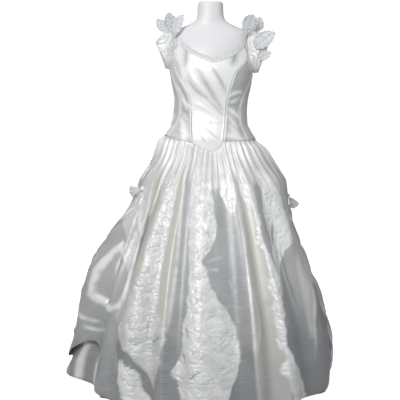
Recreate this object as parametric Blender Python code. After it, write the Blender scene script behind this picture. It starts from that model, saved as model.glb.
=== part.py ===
"""Wedding dress on a limbless dress form, with its stand.

Metres, +Z up, the dress faces -Y. The origin is under the stand's round base, on the floor.
Every cloth piece is a wall through points on one of two surfaces: the torso, for the bodice, and the
skirt. Both are rings read from a table of half widths, and an angle runs from the front towards +X.
"""
import math

import bmesh
import bpy
from mathutils import Vector

# Cloth
SATIN = 0.0016              # wall of the satin pieces
ORGANZA = 0.0012            # wall of the stiff sheer pieces
SEAM_GAP = 0.0003           # between neighbours at a seam
PANEL_LIFT = 0.0012         # bodice lining above the form
CURVE_ALLOWANCE = 0.0005    # what lies across a bend clears its neighbour's flats by this too
LAP_LIFT = PANEL_LIFT + SATIN + SEAM_GAP + CURVE_ALLOWANCE      # what lies on a bodice panel
TRIM_LIFT = LAP_LIFT + ORGANZA + SEAM_GAP + CURVE_ALLOWANCE     # what lies on an armhole band

# Torso rings, the form's own surface under the bodice: z, left, right, front, back
TORSO = (
    (0.800, 0.150, 0.155, 0.105, 0.110),
    (0.880, 0.178, 0.182, 0.117, 0.123),
    (0.940, 0.190, 0.177, 0.122, 0.122),
    (0.975, 0.172, 0.158, 0.116, 0.112),
    (1.005, 0.153, 0.144, 0.108, 0.103),
    (1.050, 0.140, 0.141, 0.102, 0.096),
    (1.100, 0.136, 0.145, 0.106, 0.100),
    (1.145, 0.143, 0.155, 0.115, 0.108),
    (1.175, 0.149, 0.160, 0.119, 0.111),
    (1.205, 0.152, 0.161, 0.119, 0.112),
    (1.240, 0.151, 0.157, 0.112, 0.112),
    (1.290, 0.148, 0.151, 0.095, 0.106),
    (1.325, 0.149, 0.151, 0.080, 0.097),
    (1.350, 0.147, 0.149, 0.068, 0.086),
    (1.366, 0.140, 0.142, 0.059, 0.075),
    (1.377, 0.123, 0.124, 0.053, 0.067),
    (1.386, 0.101, 0.102, 0.050, 0.061),
    (1.395, 0.081, 0.081, 0.048, 0.058),
    (1.407, 0.063, 0.063, 0.048, 0.056),
    (1.425, 0.054, 0.054, 0.047, 0.055),
    (1.455, 0.0515, 0.0515, 0.046, 0.054),
    (1.480, 0.0515, 0.0515, 0.046, 0.054),
)
TORSO_ROUND = 2.2           # superellipse exponent
FORM_BOTTOM = 0.800
FORM_TOP = 1.480
SHOULDER = 1.350
FORM_COLUMNS = 36
FORM_RING_MOST = 0.040      # taller gaps between rings get one more
BODICE_RELIEF = 0.0046      # the form stands back a little under the bodice
BODICE_RELIEF_FROM = 1.310
BODICE_RELIEF_FULL = 1.255
HIP_RELIEF = 0.008          # and more under the skirt seams
HIP_RELIEF_FROM = 1.000
HIP_RELIEF_FULL = 0.960

# Skirt rings, the outside of the overskirt: z, left, right, front, back
SKIRT = (
    (0.010, 0.562, 0.466, 0.460, 0.570),
    (0.068, 0.558, 0.472, 0.452, 0.548),
    (0.130, 0.546, 0.476, 0.441, 0.528),
    (0.193, 0.527, 0.469, 0.427, 0.508),
    (0.255, 0.516, 0.449, 0.410, 0.487),
    (0.318, 0.507, 0.431, 0.389, 0.463),
    (0.380, 0.490, 0.416, 0.368, 0.438),
    (0.443, 0.474, 0.388, 0.345, 0.411),
    (0.505, 0.436, 0.362, 0.322, 0.386),
    (0.568, 0.394, 0.338, 0.298, 0.360),
    (0.630, 0.352, 0.320, 0.271, 0.330),
    (0.693, 0.312, 0.306, 0.241, 0.297),
    (0.755, 0.285, 0.301, 0.210, 0.262),
    (0.787, 0.276, 0.296, 0.193, 0.240),
    (0.818, 0.258, 0.277, 0.176, 0.216),
    (0.849, 0.236, 0.257, 0.159, 0.190),
    (0.880, 0.220, 0.237, 0.143, 0.162),
    (0.912, 0.209, 0.213, 0.133, 0.142),
    (0.943, 0.197, 0.184, 0.128, 0.127),
    (0.975, 0.178, 0.165, 0.122, 0.118),
)
SKIRT_ROUND = 2.1
SEAM_BLEND = 0.032          # drop over which the skirt leaves the bodice's line

# Basque seam: angle in degrees, height; straight between its rows
WAIST_SEAM = (
    (-180.0, 0.925), (-120.0, 0.955), (-90.0, 0.972), (-67.5, 0.956), (-52.5, 0.943),
    (-30.0, 0.930), (-15.0, 0.909), (3.75, 0.897), (15.0, 0.908), (22.5, 0.936),
    (60.0, 0.940), (90.0, 0.9445), (120.0, 0.938), (180.0, 0.925),
)

# Top edge of the bodice: angle in degrees, height
TOP_EDGE = (
    (-180.0, 1.245), (-150.0, 1.262), (-132.0, 1.300), (-118.0, 1.300), (-104.0, 1.232),
    (-90.0, 1.200), (-79.0, 1.228), (-70.0, 1.292), (-61.0, 1.308), (-41.0, 1.279),
    (-19.0, 1.256), (3.75, 1.240), (17.0, 1.245), (44.0, 1.267), (66.0, 1.298),
    (73.0, 1.290), (81.0, 1.228), (90.0, 1.200), (104.0, 1.232), (118.0, 1.300),
    (132.0, 1.300), (150.0, 1.262), (180.0, 1.245),
)

# Bodice seams: height, angle in degrees
SEAMS = {
    "front_left": ((0.930, -30.0), (1.017, -36.5), (1.112, -40.0), (1.207, -50.0), (1.292, -68.0)),
    "front_right": ((0.936, 22.5), (1.017, 29.5), (1.093, 33.0), (1.188, 41.0), (1.270, 70.0)),
    "side_left": ((0.956, -67.5), (1.015, -62.0), (1.090, -60.0), (1.190, -73.0), (1.235, -79.0)),
    "side_right": ((0.940, 60.0), (1.045, 58.0), (1.110, 64.0), (1.190, 76.0), (1.230, 81.0)),
    "back_left": ((0.955, -120.0), (1.050, -128.0), (1.290, -124.0)),
    "back_right": ((0.938, 120.0), (1.050, 128.0), (1.290, 124.0)),
    "centre_back_left": ((0.925, -180.0), (1.245, -180.0)),
    "centre_back_right": ((0.925, 180.0), (1.245, 180.0)),
}

# Bodice panels: name, seam on the left, seam on the right, columns
PANEL_ROWS = 12
PANELS = (
    ("bodice_centre_front", "front_left", "front_right", 14),
    ("bodice_side_front_left", "side_left", "front_left", 5),
    ("bodice_side_front_right", "front_right", "side_right", 5),
    ("bodice_side_left", "back_left", "side_left", 7),
    ("bodice_side_right", "side_right", "back_right", 8),
    ("bodice_back_left", "centre_back_left", "back_left", 6),
    ("bodice_back_right", "back_right", "centre_back_right", 6),
)

# Soft drag folds on the bodice: from_deg, from_z, to_deg, to_z, half_width, rise
DRAG_METRES_PER_DEG = 0.0024
DRAGS = (
    (-34.0, 1.215, 20.0, 1.045, 0.014, 0.0026),
    (-10.0, 1.228, 27.0, 1.095, 0.012, 0.0022),
    (-37.0, 1.120, 24.0, 1.000, 0.013, 0.0026),
    (-30.0, 1.045, 14.0, 0.960, 0.010, 0.0022),
    (-60.0, 1.235, -38.0, 1.090, 0.010, 0.0026),
    (-70.0, 1.170, -40.0, 1.030, 0.010, 0.0022),
    (32.0, 1.098, 56.0, 1.112, 0.012, 0.0026),
)

# Overskirt folds: hem_deg, waist_deg, half_width_deg, depth, drop at which it starts
FRONT_FOLDS = (
    (-4.0, -5.0, 10.0, 0.020, 0.04),
    (9.0, 9.0, 9.0, -0.016, 0.06),
    (18.0, 27.0, 7.5, 0.020, 0.05),
    (26.5, 34.0, 7.5, -0.016, 0.05),
    (36.0, 47.0, 8.0, 0.022, 0.05),
    (48.0, 58.0, 8.0, -0.016, 0.08),
    (60.0, 68.0, 9.0, 0.024, 0.08),
    (-13.5, -17.0, 8.0, -0.016, 0.05),
    (-23.0, -36.0, 8.0, 0.022, 0.04),
    (-33.0, -44.0, 8.0, -0.016, 0.06),
    (-46.0, -54.0, 9.0, 0.018, 0.06),
    (-66.0, -63.0, 15.0, -0.070, 0.22),
)
BACK_FOLDS = 8              # evenly spaced crests behind, with troughs between
BACK_FOLD_FROM = 108.0
BACK_FOLD_CREST = 0.022
BACK_FOLD_TROUGH = -0.018
BACK_FOLD_WIDTH = 0.42      # half width as a share of the spacing
BACK_FOLD_START = 0.05
FOLD_FULL_DROP = 0.55       # drop below its start at which a fold has its whole depth
FOLD_LEAN = 0.7             # powers: how early a fold leans over to its hem angle, and deepens
FOLD_GROWTH = 0.6

# Gathers in the waist seam
GATHERS = 48
GATHER_HEIGHT = 0.0042
GATHER_RISE = 0.022         # drop at which a gather is at its fullest
GATHER_RUN = 0.200          # drop over which it dies away

# Overskirt hem: angle, height. It is caught up on both sides
OVER_HEM = (
    (-180.0, 0.010), (-132.0, 0.010), (-116.0, 0.048), (-100.0, 0.085), (-91.0, 0.100),
    (-80.0, 0.145), (-71.0, 0.188), (-66.0, 0.165), (-61.0, 0.080), (-55.0, 0.018),
    (-50.0, 0.010), (48.0, 0.010), (57.0, 0.022), (66.0, 0.064), (78.0, 0.082),
    (90.0, 0.098), (102.0, 0.086), (118.0, 0.040), (132.0, 0.010), (180.0, 0.010),
)
SKIRT_COLUMNS = 96
SKIRT_ROWS = 14
ROW_CROWDING = 1.6          # rows lie closer together near the gathers

# Underskirt
UNDER_COLUMNS = 48
UNDER_DROPS = (1.0, 0.62, 0.36, 0.18, 0.08, 0.032, 0.012, 0.0)     # rows, as shares of its length
UNDER_HEM = 0.010
UNDER_INSET = 0.016
UNDER_INSET_RUN = 0.045     # drop over which it reaches that inset
UNDER_TOP_DROP = 0.004      # its top edge hangs this far below the seam
UNDER_WAVES = 16
UNDER_WAVE_HEIGHT = 0.004
UNDER_WAVE_RUN = 0.5        # drop over which the waves grow
UNDER_SHOWS_FROM = 0.030    # where the overskirt's hem is this high, the underskirt comes out under it
UNDER_SHOWS_RUN = 0.050
UNDER_SHOWS_CLEAR = 0.012
UNDER_OUT_SHARE = 0.9       # share of the inset that it gives up there

# Armhole bands: rays from a point in the shoulder, fanned about the arm's axis.
# Turn is 0 in front, 90 above; the two opening angles are the band's outer and inner edges.
# Columns: turn_deg, outer_deg, inner_deg
ARMHOLE_CENTRE = (0.105, 0.002, 1.285)
BAND = (
    (-90.0, 52.0, 61.0),
    (-45.0, 50.0, 61.0),
    (0.0, 44.0, 62.0),
    (45.0, 54.0, 70.0),
    (90.0, 62.0, 79.0),
    (135.0, 54.0, 70.0),
    (180.0, 44.0, 62.0),
    (225.0, 50.0, 61.0),
    (270.0, 52.0, 61.0),
)
ARMHOLE_STEPS = 32
BAND_ROWS = 2

# Sleeves: the rim's centre, half height, half depth, lean of the rim, by side
SLEEVES = {
    "left": {"side": -1, "centre": (-0.192, -0.004, 1.280), "half_height": 0.060,
             "half_depth": 0.056, "lean_deg": 21.0, "bulge": 0.010},
    "right": {"side": 1, "centre": (0.208, 0.000, 1.268), "half_height": 0.064,
              "half_depth": 0.056, "lean_deg": 20.0, "bulge": 0.014},
}
SLEEVE_ROWS = 3
SLEEVE_ROOT_DEG = 2.5       # the root lies this far inside the band's outer edge
SLEEVE_ROOT_LIFT = TRIM_LIFT

# Leaf petals: side, what carries it, row and step of its corner there, tip in x, y, z, width.
# A band's rows run from its outer edge, a sleeve's from its rim; step 8 is on top
PETALS = (
    ("left", "sleeve", 2, 7, (-0.214, -0.034, 1.416), 0.038),
    ("left", "band", 1, 7, (-0.161, -0.056, 1.443), 0.046),
    ("left", "band", 1, 5, (-0.108, -0.068, 1.434), 0.042),
    ("left", "band", 1, 10, (-0.150, 0.068, 1.420), 0.040),
    ("right", "band", 1, 7, (0.168, -0.060, 1.436), 0.060),
    ("right", "sleeve", 2, 8, (0.196, -0.012, 1.426), 0.046),
    ("right", "band", 1, 5, (0.122, -0.070, 1.398), 0.028),
    ("right", "sleeve", 2, 2, (0.250, -0.084, 1.364), 0.058),
    ("right", "sleeve", 1, 31, (0.240, -0.086, 1.288), 0.036),
    ("right", "band", 1, 10, (0.165, 0.068, 1.415), 0.040),
)
PETAL_ROWS = 5
PETAL_COLUMNS_ACROSS = 3
PETAL_CUP = 0.16
PETAL_BOW = 0.12
PETAL_ROOT = 0.0025         # half width where it is sewn on
PETAL_TIP = 0.0010
PETAL_LEAF = 1.15           # power that moves a leaf's widest place above its middle
PETAL_LIFT = 0.004          # it first leaves its carrier, then turns up
PETAL_LIFT_RUN = 0.4        # share of its length over which it does
PETAL_FRONT = 0.03          # a petal whose tip is further back than this faces back

# Neckline frill: from and to in degrees, number of columns
FRILLS = (
    ("neckline_frill_front", -57.0, 62.0, 44),
    ("neckline_frill_back", 138.0, 222.0, 20),
)
FRILL_ROWS = ((-0.006, 0.0), (0.001, 0.3), (0.014, 1.0))     # height over the edge, share of the wave
FRILL_WAVE = 0.0020

# Buttons down the centre back
BUTTONS = 11
BUTTON_RADIUS = 0.0055
BUTTON_HEIGHT = 0.0042
BUTTON_TOP = 1.232
BUTTON_PITCH = 0.0275
BUTTON_OFFSET = 0.0085      # to one side of the opening

# Hip fans: a knot on a corner of the overskirt's grid where it is picked up, and a pleated tab from it
HIP_FANS = {
    "left": {"deg": -67.5, "row": 8, "heading": (-0.86, 0.22, -0.16)},
    "right": {"deg": 97.5, "row": 8, "heading": (0.82, -0.20, -0.45)},
}
FAN_LENGTH = 0.046
FAN_SPREAD_DEG = 24.0
FAN_PLEATS = 4
FAN_ROWS = 3
FAN_PLEAT_HEIGHT = 0.0035
FAN_PLEAT_START = 0.35      # share of that height beside the knot
FAN_LIE = 0.6               # how far its heading is laid down onto the skirt
FAN_ARCH = 0.007
KNOT_RADIUS = 0.0095
KNOT_DEPTH = 0.8            # its depth as a share of its width

# Stand
BASE_RADIUS = 0.160
BASE_HEIGHT = 0.008
BASE_EDGE = 0.002
POLE_RADIUS = 0.016
COLLAR_RADIUS = 0.027
COLLAR_HEIGHT = 0.030
COLLAR_BEVEL = 0.004
PLATE_RADIUS = 0.060
PLATE_HEIGHT = 0.006
ROUND_SIDES = 24


def table(rows, column):
    """A smooth curve through one column of a table, flat beyond both ends, that never overshoots."""
    xs = [row[0] for row in rows]
    ys = [row[column] for row in rows]
    steps = [(ys[i + 1] - ys[i]) / (xs[i + 1] - xs[i]) for i in range(len(xs) - 1)]
    slopes = [0.0] * len(xs)
    for i in range(1, len(xs) - 1):
        if steps[i - 1] * steps[i] > 0:
            slopes[i] = 2 * steps[i - 1] * steps[i] / (steps[i - 1] + steps[i])

    def read(x):
        if x <= xs[0]:
            return ys[0]
        if x >= xs[-1]:
            return ys[-1]
        i = 0
        while x > xs[i + 1]:
            i += 1
        span = xs[i + 1] - xs[i]
        t = (x - xs[i]) / span
        start = (1 + 2 * t) * (1 - t) ** 2 * ys[i] + t * (1 - t) ** 2 * span * slopes[i]
        end = t * t * (3 - 2 * t) * ys[i + 1] + t * t * (t - 1) * span * slopes[i + 1]
        return start + end

    return read


def straight(rows):
    """A curve of straight runs through a table's two columns."""
    def read(x):
        for (x0, y0), (x1, y1) in zip(rows, rows[1:]):
            if x <= x1:
                return y0 + (y1 - y0) * max(0.0, (x - x0) / (x1 - x0))
        return rows[-1][1]

    return read


def ease(t):
    t = min(1.0, max(0.0, t))
    return t * t * (3 - 2 * t)


def hump(t):
    return 0.5 + 0.5 * math.cos(math.pi * t) if abs(t) < 1 else 0.0


def wrap(deg):
    return (deg + 180.0) % 360.0 - 180.0


def rings(rows, exponent):
    """Radius at an angle and a height, for a table of left, right, front and back."""
    left, right, front, back = (table(rows, column) for column in (1, 2, 3, 4))

    def radius(deg, z):
        s = math.sin(math.radians(deg))
        c = math.cos(math.radians(deg))
        across = right(z) if s > 0 else left(z)
        along = front(z) if c > 0 else back(z)
        return ((abs(s) / across) ** exponent + (abs(c) / along) ** exponent) ** (-1 / exponent)

    return radius


def polar(deg, radius, z):
    angle = math.radians(deg)
    return Vector((radius * math.sin(angle), -radius * math.cos(angle), z))


torso_radius = rings(TORSO, TORSO_ROUND)
skirt_radius = rings(SKIRT, SKIRT_ROUND)
waist_seam = straight(WAIST_SEAM)
top_edge = straight(TOP_EDGE)
over_hem = table(OVER_HEM, 1)


def surface_point(radius, deg, z, lift):
    """A point on a ring surface, moved out along the surface's normal."""
    small_turn, small_step = 0.5, 0.002
    point = polar(deg, radius(deg, z), z)
    along = polar(deg + small_turn, radius(deg + small_turn, z), z) - polar(
        deg - small_turn, radius(deg - small_turn, z), z)
    up = polar(deg, radius(deg, z + small_step), z + small_step) - polar(
        deg, radius(deg, z - small_step), z - small_step)
    return point + along.cross(up).normalized() * lift


def torso_point(deg, z, lift=0.0):
    return surface_point(torso_radius, deg, z, lift)


def torso_hit(start, direction, lift):
    """Where a ray from inside leaves the torso, moved out along the normal."""
    near, far = 0.0, 0.30
    for _ in range(40):
        middle = (near + far) / 2
        p = start + direction * middle
        inside = p.z < FORM_TOP and math.hypot(p.x, p.y) < torso_radius(angle_of(p), p.z)
        near, far = (middle, far) if inside else (near, middle)
    p = start + direction * near
    return torso_point(angle_of(p), p.z, lift)


def angle_of(p):
    return math.degrees(math.atan2(p.x, -p.y))


def material(name, colour, roughness, metallic=0.0):
    found = bpy.data.materials.get(name)
    if found:
        return found
    made = bpy.data.materials.new(name)
    made.use_nodes = True
    shader = made.node_tree.nodes["Principled BSDF"]
    shader.inputs["Base Color"].default_value = (*colour, 1.0)
    shader.inputs["Roughness"].default_value = roughness
    shader.inputs["Metallic"].default_value = metallic
    made.diffuse_color = (*colour, 1.0)
    return made


def satin():
    return material("ivory_satin", (0.84, 0.84, 0.80), 0.30)


def organza():
    return material("white_organza", (0.82, 0.84, 0.86), 0.50)


def form_shell():
    return material("grey_form_gloss", (0.72, 0.73, 0.75), 0.25)


def stand_steel():
    return material("stand_steel", (0.55, 0.56, 0.58), 0.35, 1.0)


def add_object(name, bm, finish, smooth_deg=40.0):
    mesh = bpy.data.meshes.new(name)
    bm.to_mesh(mesh)
    bm.free()
    mesh.materials.append(finish)
    mesh.shade_smooth()
    mesh.set_sharp_from_angle(angle=math.radians(smooth_deg))
    made = bpy.data.objects.new(name, mesh)
    bpy.context.scene.collection.objects.link(made)
    return made


def grid_object(name, layers, finish, closed):
    """Rows of points as a triangulated sheet; with a second layer behind it, a closed wall."""
    bm = bmesh.new()
    grids = [[[bm.verts.new(p) for p in row] for row in layer] for layer in layers]
    across = len(grids[0][0])
    last = across if closed else across - 1
    for side, grid in enumerate(grids):
        for low, high in zip(grid, grid[1:]):
            for i in range(last):
                j = (i + 1) % across
                for corners in ((low[i], low[j], high[j]), (low[i], high[j], high[i])):
                    bm.faces.new(corners if side == 0 else corners[::-1])
    if len(grids) == 2:
        front, back = grids
        for i in range(last):
            j = (i + 1) % across
            bm.faces.new((front[0][j], front[0][i], back[0][i], back[0][j]))
            bm.faces.new((front[-1][i], front[-1][j], back[-1][j], back[-1][i]))
        if not closed:
            for k in range(len(front) - 1):
                bm.faces.new((front[k][0], front[k + 1][0], back[k + 1][0], back[k][0]))
                bm.faces.new((front[k + 1][-1], front[k][-1], back[k][-1], back[k + 1][-1]))
    return add_object(name, bm, finish)


def cloth(name, outside, inside, finish):
    """A wall between two surfaces, both as rows from the lowest, each running towards +angle."""
    grid_object(name, (outside, inside), finish, False)


def strip(name, rows, thickness, finish, closed=False):
    """A wall grown outwards from its inner surface."""
    made = grid_object(name, (rows,), finish, closed)
    wall = made.modifiers.new("wall", "SOLIDIFY")
    wall.thickness = thickness
    wall.offset = 1.0
    wall.use_rim = True


def turned(name, profile, finish, at=(0.0, 0.0, 0.0)):
    """A closed ring or a solid turned about the vertical from a closed profile of radius, height."""
    bm = bmesh.new()
    corners = [bm.verts.new((radius, 0.0, z)) for radius, z in profile]
    edges = [bm.edges.new((corners[i], corners[(i + 1) % len(corners)])) for i in range(len(corners))]
    bmesh.ops.spin(bm, geom=corners + edges, cent=(0, 0, 0), axis=(0, 0, 1), angle=2 * math.pi,
                   steps=ROUND_SIDES, use_merge=True)
    bmesh.ops.remove_doubles(bm, verts=bm.verts, dist=1e-6)
    bmesh.ops.recalc_face_normals(bm, faces=bm.faces)
    made = add_object(name, bm, finish)
    made.location = at
    return made


def disc(name, radius, low, high, finish, edge=0.0):
    """A round plate, with an eased top edge."""
    bm = bmesh.new()
    bmesh.ops.create_circle(bm, cap_ends=True, segments=ROUND_SIDES, radius=radius)
    top = bmesh.ops.extrude_face_region(bm, geom=bm.faces[:])
    verts = [v for v in top["geom"] if isinstance(v, bmesh.types.BMVert)]
    bmesh.ops.translate(bm, verts=verts, vec=(0, 0, high - low))
    bmesh.ops.recalc_face_normals(bm, faces=bm.faces)
    if edge:
        rim = [e for e in bm.edges if all(v in verts for v in e.verts)]
        bmesh.ops.bevel(bm, geom=rim, offset=edge, segments=2, affect="EDGES", profile=0.5, material=-1)
    made = add_object(name, bm, finish)
    made.location = (0, 0, low)
    return made


def form_relief(z):
    bodice = BODICE_RELIEF * ease((BODICE_RELIEF_FROM - z) / (BODICE_RELIEF_FROM - BODICE_RELIEF_FULL))
    return bodice + HIP_RELIEF * ease((HIP_RELIEF_FROM - z) / (HIP_RELIEF_FROM - HIP_RELIEF_FULL))


def make_form():
    """The limbless torso, closed flat under the hips and over the neck."""
    heights = [row[0] for row in TORSO]
    heights += [(low + high) / 2 for low, high in zip(heights, heights[1:])
                if high - low > FORM_RING_MOST]
    bm = bmesh.new()
    loops = []
    for z in sorted(heights):
        ring = [polar(deg, torso_radius(deg, z) - form_relief(z), z)
                for deg in (360.0 * i / FORM_COLUMNS for i in range(FORM_COLUMNS))]
        loops.append([bm.verts.new(p) for p in ring])
    for low, high in zip(loops, loops[1:]):
        for i in range(FORM_COLUMNS):
            j = (i + 1) % FORM_COLUMNS
            bm.faces.new((low[i], low[j], high[j], high[i]))
    bm.faces.new(list(reversed(loops[0])))
    bm.faces.new(loops[-1])
    add_object("dress_form", bm, form_shell(), 60.0)


def drag_rise(deg, z):
    """Height of the drag folds above the bodice at an angle and a height."""
    rise = 0.0
    for from_deg, from_z, to_deg, to_z, half_width, height in DRAGS:
        run = Vector(((to_deg - from_deg) * DRAG_METRES_PER_DEG, to_z - from_z))
        here = Vector(((deg - from_deg) * DRAG_METRES_PER_DEG, z - from_z))
        along = here.dot(run) / run.length_squared
        if 0 < along < 1:
            aside = abs(here.x * run.y - here.y * run.x) / run.length
            rise = max(rise, height * hump(aside / half_width) * math.sin(math.pi * along))
    return rise


def bodice_point(left_seam, right_seam, u, v):
    """Angle and height at a place across and up a panel, found between the torso's ends."""
    def place(z):
        edge_gap = math.degrees(SEAM_GAP / 2 / torso_radius((left_seam(z) + right_seam(z)) / 2, z))
        bare = left_seam(z) + (right_seam(z) - left_seam(z)) * u
        low = waist_seam(bare)
        return bare + edge_gap * (1 - 2 * u), low + (top_edge(bare) - low) * v

    near, far = FORM_BOTTOM, SHOULDER
    for _ in range(30):
        middle = (near + far) / 2
        near, far = (middle, far) if place(middle)[1] > middle else (near, middle)
    return place(near)


def make_bodice():
    for name, left_name, right_name, columns in PANELS:
        left_seam = table(SEAMS[left_name], 1)
        right_seam = table(SEAMS[right_name], 1)
        outside = []
        inside = []
        for j in range(PANEL_ROWS + 1):
            places = [bodice_point(left_seam, right_seam, i / columns, j / PANEL_ROWS)
                      for i in range(columns + 1)]
            rises = [drag_rise(deg, z) if 0 < i < columns and 0 < j < PANEL_ROWS else 0.0
                     for i, (deg, z) in enumerate(places)]
            inside.append([torso_point(deg, z, PANEL_LIFT + rise)
                           for (deg, z), rise in zip(places, rises)])
            outside.append([torso_point(deg, z, PANEL_LIFT + SATIN + rise)
                            for (deg, z), rise in zip(places, rises)])
        cloth(name, outside, inside, satin())


def fold_table():
    rows = list(FRONT_FOLDS)
    span = (360.0 - 2 * BACK_FOLD_FROM) / (BACK_FOLDS - 1)
    for k in range(BACK_FOLDS):
        deg = BACK_FOLD_FROM + span * k
        half_width = span * BACK_FOLD_WIDTH
        rows.append((deg, deg, half_width, BACK_FOLD_CREST, BACK_FOLD_START))
        if k < BACK_FOLDS - 1:
            between = deg + span / 2
            rows.append((between, between, half_width, BACK_FOLD_TROUGH, BACK_FOLD_START))
    return rows


FOLDS = fold_table()


def fold_depth(deg, z, drop):
    depth = 0.0
    for hem_deg, waist_deg, half_width, height, start in FOLDS:
        down = min(1.0, drop / (drop + z))
        centre = waist_deg + (hem_deg - waist_deg) * down ** FOLD_LEAN
        grown = ease((drop - start) / FOLD_FULL_DROP) ** FOLD_GROWTH
        depth += height * grown * hump(wrap(deg - centre) / half_width)
    return depth


def gather_depth(deg, drop):
    grown = ease(drop / GATHER_RISE) * (1 - ease((drop - GATHER_RISE) / GATHER_RUN))
    return GATHER_HEIGHT * grown * math.cos(math.radians(GATHERS * deg))


def skirt_outline(deg, z, gathered=True):
    """Radius of the overskirt's outside, with or without its gathers."""
    seam = waist_seam(wrap(deg))
    drop = max(0.0, seam - z)
    top = torso_point(deg, seam, PANEL_LIFT + SATIN).xy.length
    blend = 1 - (1 - min(1.0, drop / SEAM_BLEND)) ** 2
    radius = top + (max(skirt_radius(deg, z), top) - top) * blend + fold_depth(deg, z, drop)
    return radius + (gather_depth(deg, drop) if gathered else 0.0)


def skirt_point(deg, z, inset=0.0, gathered=True, aside=0.0):
    """A point on the overskirt, or inset from it along its normal, and set aside along the ring."""
    turn, step = 1.0, 0.004
    point = polar(deg, skirt_outline(deg, z, gathered), z)
    along = polar(deg + turn, skirt_outline(deg + turn, z, gathered), z) - polar(
        deg - turn, skirt_outline(deg - turn, z, gathered), z)
    up = polar(deg, skirt_outline(deg, z + step, gathered), z + step) - polar(
        deg, skirt_outline(deg, z - step, gathered), z - step)
    return point - along.cross(up).normalized() * inset + polar(deg + 90.0, aside, 0.0)


def skirt_half(columns, first):
    """Angles of a half skirt's columns, with the step aside that opens the gap at its two side seams."""
    half = columns // 2
    return [(first + 360.0 * i / columns, SEAM_GAP / 2 * ((i == 0) - (i == half)))
            for i in range(half + 1)]


def overskirt_height(deg, row):
    """Height of the overskirt's grid at an angle, from row 0 at the hem."""
    down = (1 - row / SKIRT_ROWS) ** ROW_CROWDING
    seam = waist_seam(wrap(deg)) - SEAM_GAP
    return seam + (over_hem(wrap(deg)) - seam) * down


def make_overskirt():
    """Front and back, split at the sides, hung a seam's gap below the bodice."""
    for word, first in (("front", -90.0), ("back", 90.0)):
        layers = []
        for inset in (0.0, SATIN):
            layer = []
            for j in range(SKIRT_ROWS + 1):
                layer.append([skirt_point(deg, overskirt_height(deg, j), inset, True, aside)
                              for deg, aside in skirt_half(SKIRT_COLUMNS, first)])
            layers.append(layer)
        cloth(f"overskirt_{word}", layers[0], layers[1], satin())


def under_inset(deg, z, drop):
    """How far the underskirt lies inside: little at the seam, and flush where the overskirt lifts."""
    raised = ease((over_hem(wrap(deg)) - UNDER_SHOWS_FROM) / UNDER_SHOWS_RUN)
    below = ease((over_hem(wrap(deg)) - UNDER_SHOWS_CLEAR - z) / UNDER_SHOWS_RUN)
    start = SATIN + SEAM_GAP + 2 * CURVE_ALLOWANCE
    inset = start + (UNDER_INSET - start) * min(1.0, drop / UNDER_INSET_RUN)
    wave = UNDER_WAVE_HEIGHT * ease(drop / UNDER_WAVE_RUN) * (
        1 - math.cos(math.radians(UNDER_WAVES * deg)))
    return inset * (1 - UNDER_OUT_SHARE * raised * below) + wave


def make_underskirt():
    for word, first in (("front", -90.0), ("back", 90.0)):
        layers = []
        for thickness in (0.0, ORGANZA):
            layer = []
            for down in UNDER_DROPS:
                row = []
                for deg, aside in skirt_half(UNDER_COLUMNS, first):
                    seam = waist_seam(wrap(deg)) - SEAM_GAP
                    drop = UNDER_TOP_DROP + (seam - UNDER_TOP_DROP - UNDER_HEM) * down
                    z = seam - drop
                    inset = under_inset(deg, z, drop) + thickness
                    row.append(skirt_point(deg, z, inset, False, aside))
                layer.append(row)
            layers.append(layer)
        cloth(f"underskirt_{word}", layers[0], layers[1], satin())


band_outer = table(BAND, 1)
band_inner = table(BAND, 2)


def shoulder_ray(side, turn, opening):
    """Unit vector from the shoulder's inside: turn 0 looks forward, 90 up, opening from the arm's axis."""
    turn, opening = math.radians(turn), math.radians(opening)
    return Vector((side * math.cos(opening), -math.sin(opening) * math.cos(turn),
                   math.sin(opening) * math.sin(turn)))


def band_point(side, turn, across, lift):
    """A point on an armhole band, across 0 at its outer edge and 1 at its inner."""
    turn = (turn + 90.0) % 360.0 - 90.0
    opening = band_outer(turn) + (band_inner(turn) - band_outer(turn)) * across
    centre = Vector((side * ARMHOLE_CENTRE[0], ARMHOLE_CENTRE[1], ARMHOLE_CENTRE[2]))
    return torso_hit(centre, shoulder_ray(side, turn, opening), lift)


def band_rows(side):
    """Inner surface of an armhole band, from its outer edge."""
    return [[band_point(side, side * 360.0 * i / ARMHOLE_STEPS, j / BAND_ROWS, LAP_LIFT)
             for i in range(ARMHOLE_STEPS)] for j in range(BAND_ROWS + 1)]


def sleeve_rim(shape, turn):
    turn = math.radians(turn)
    lean = math.radians(shape["lean_deg"]) * shape["side"]
    up = Vector((math.sin(lean), 0.0, math.cos(lean)))
    forward = Vector((0.0, -1.0, 0.0))
    return (Vector(shape["centre"]) + up * shape["half_height"] * math.sin(turn)
            + forward * shape["half_depth"] * math.cos(turn))


def sleeve_point(shape, turn, along, lift=0.0):
    """Inside of the sleeve, from its root on the armhole band to its rim."""
    side = shape["side"]
    turn_read = (turn + 90.0) % 360.0 - 90.0
    span = band_inner(turn_read) - band_outer(turn_read)
    root = band_point(side, turn, SLEEVE_ROOT_DEG / span, SLEEVE_ROOT_LIFT)
    rim = sleeve_rim(shape, turn)
    middle = sum((sleeve_rim(shape, t) for t in (0, 90, 180, 270)), Vector()) / 4
    out = (rim - middle).normalized()
    upper = 0.5 + 0.5 * math.sin(math.radians(turn_read))
    swell = shape["bulge"] * upper * math.sin(math.pi * along) + lift
    return root.lerp(rim, along) + out * swell


def sleeve_rows(shape):
    """Inner surface of a sleeve, from its rim."""
    return [[sleeve_point(shape, shape["side"] * 360.0 * i / ARMHOLE_STEPS, 1 - j / SLEEVE_ROWS)
             for i in range(ARMHOLE_STEPS)] for j in range(SLEEVE_ROWS + 1)]


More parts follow.
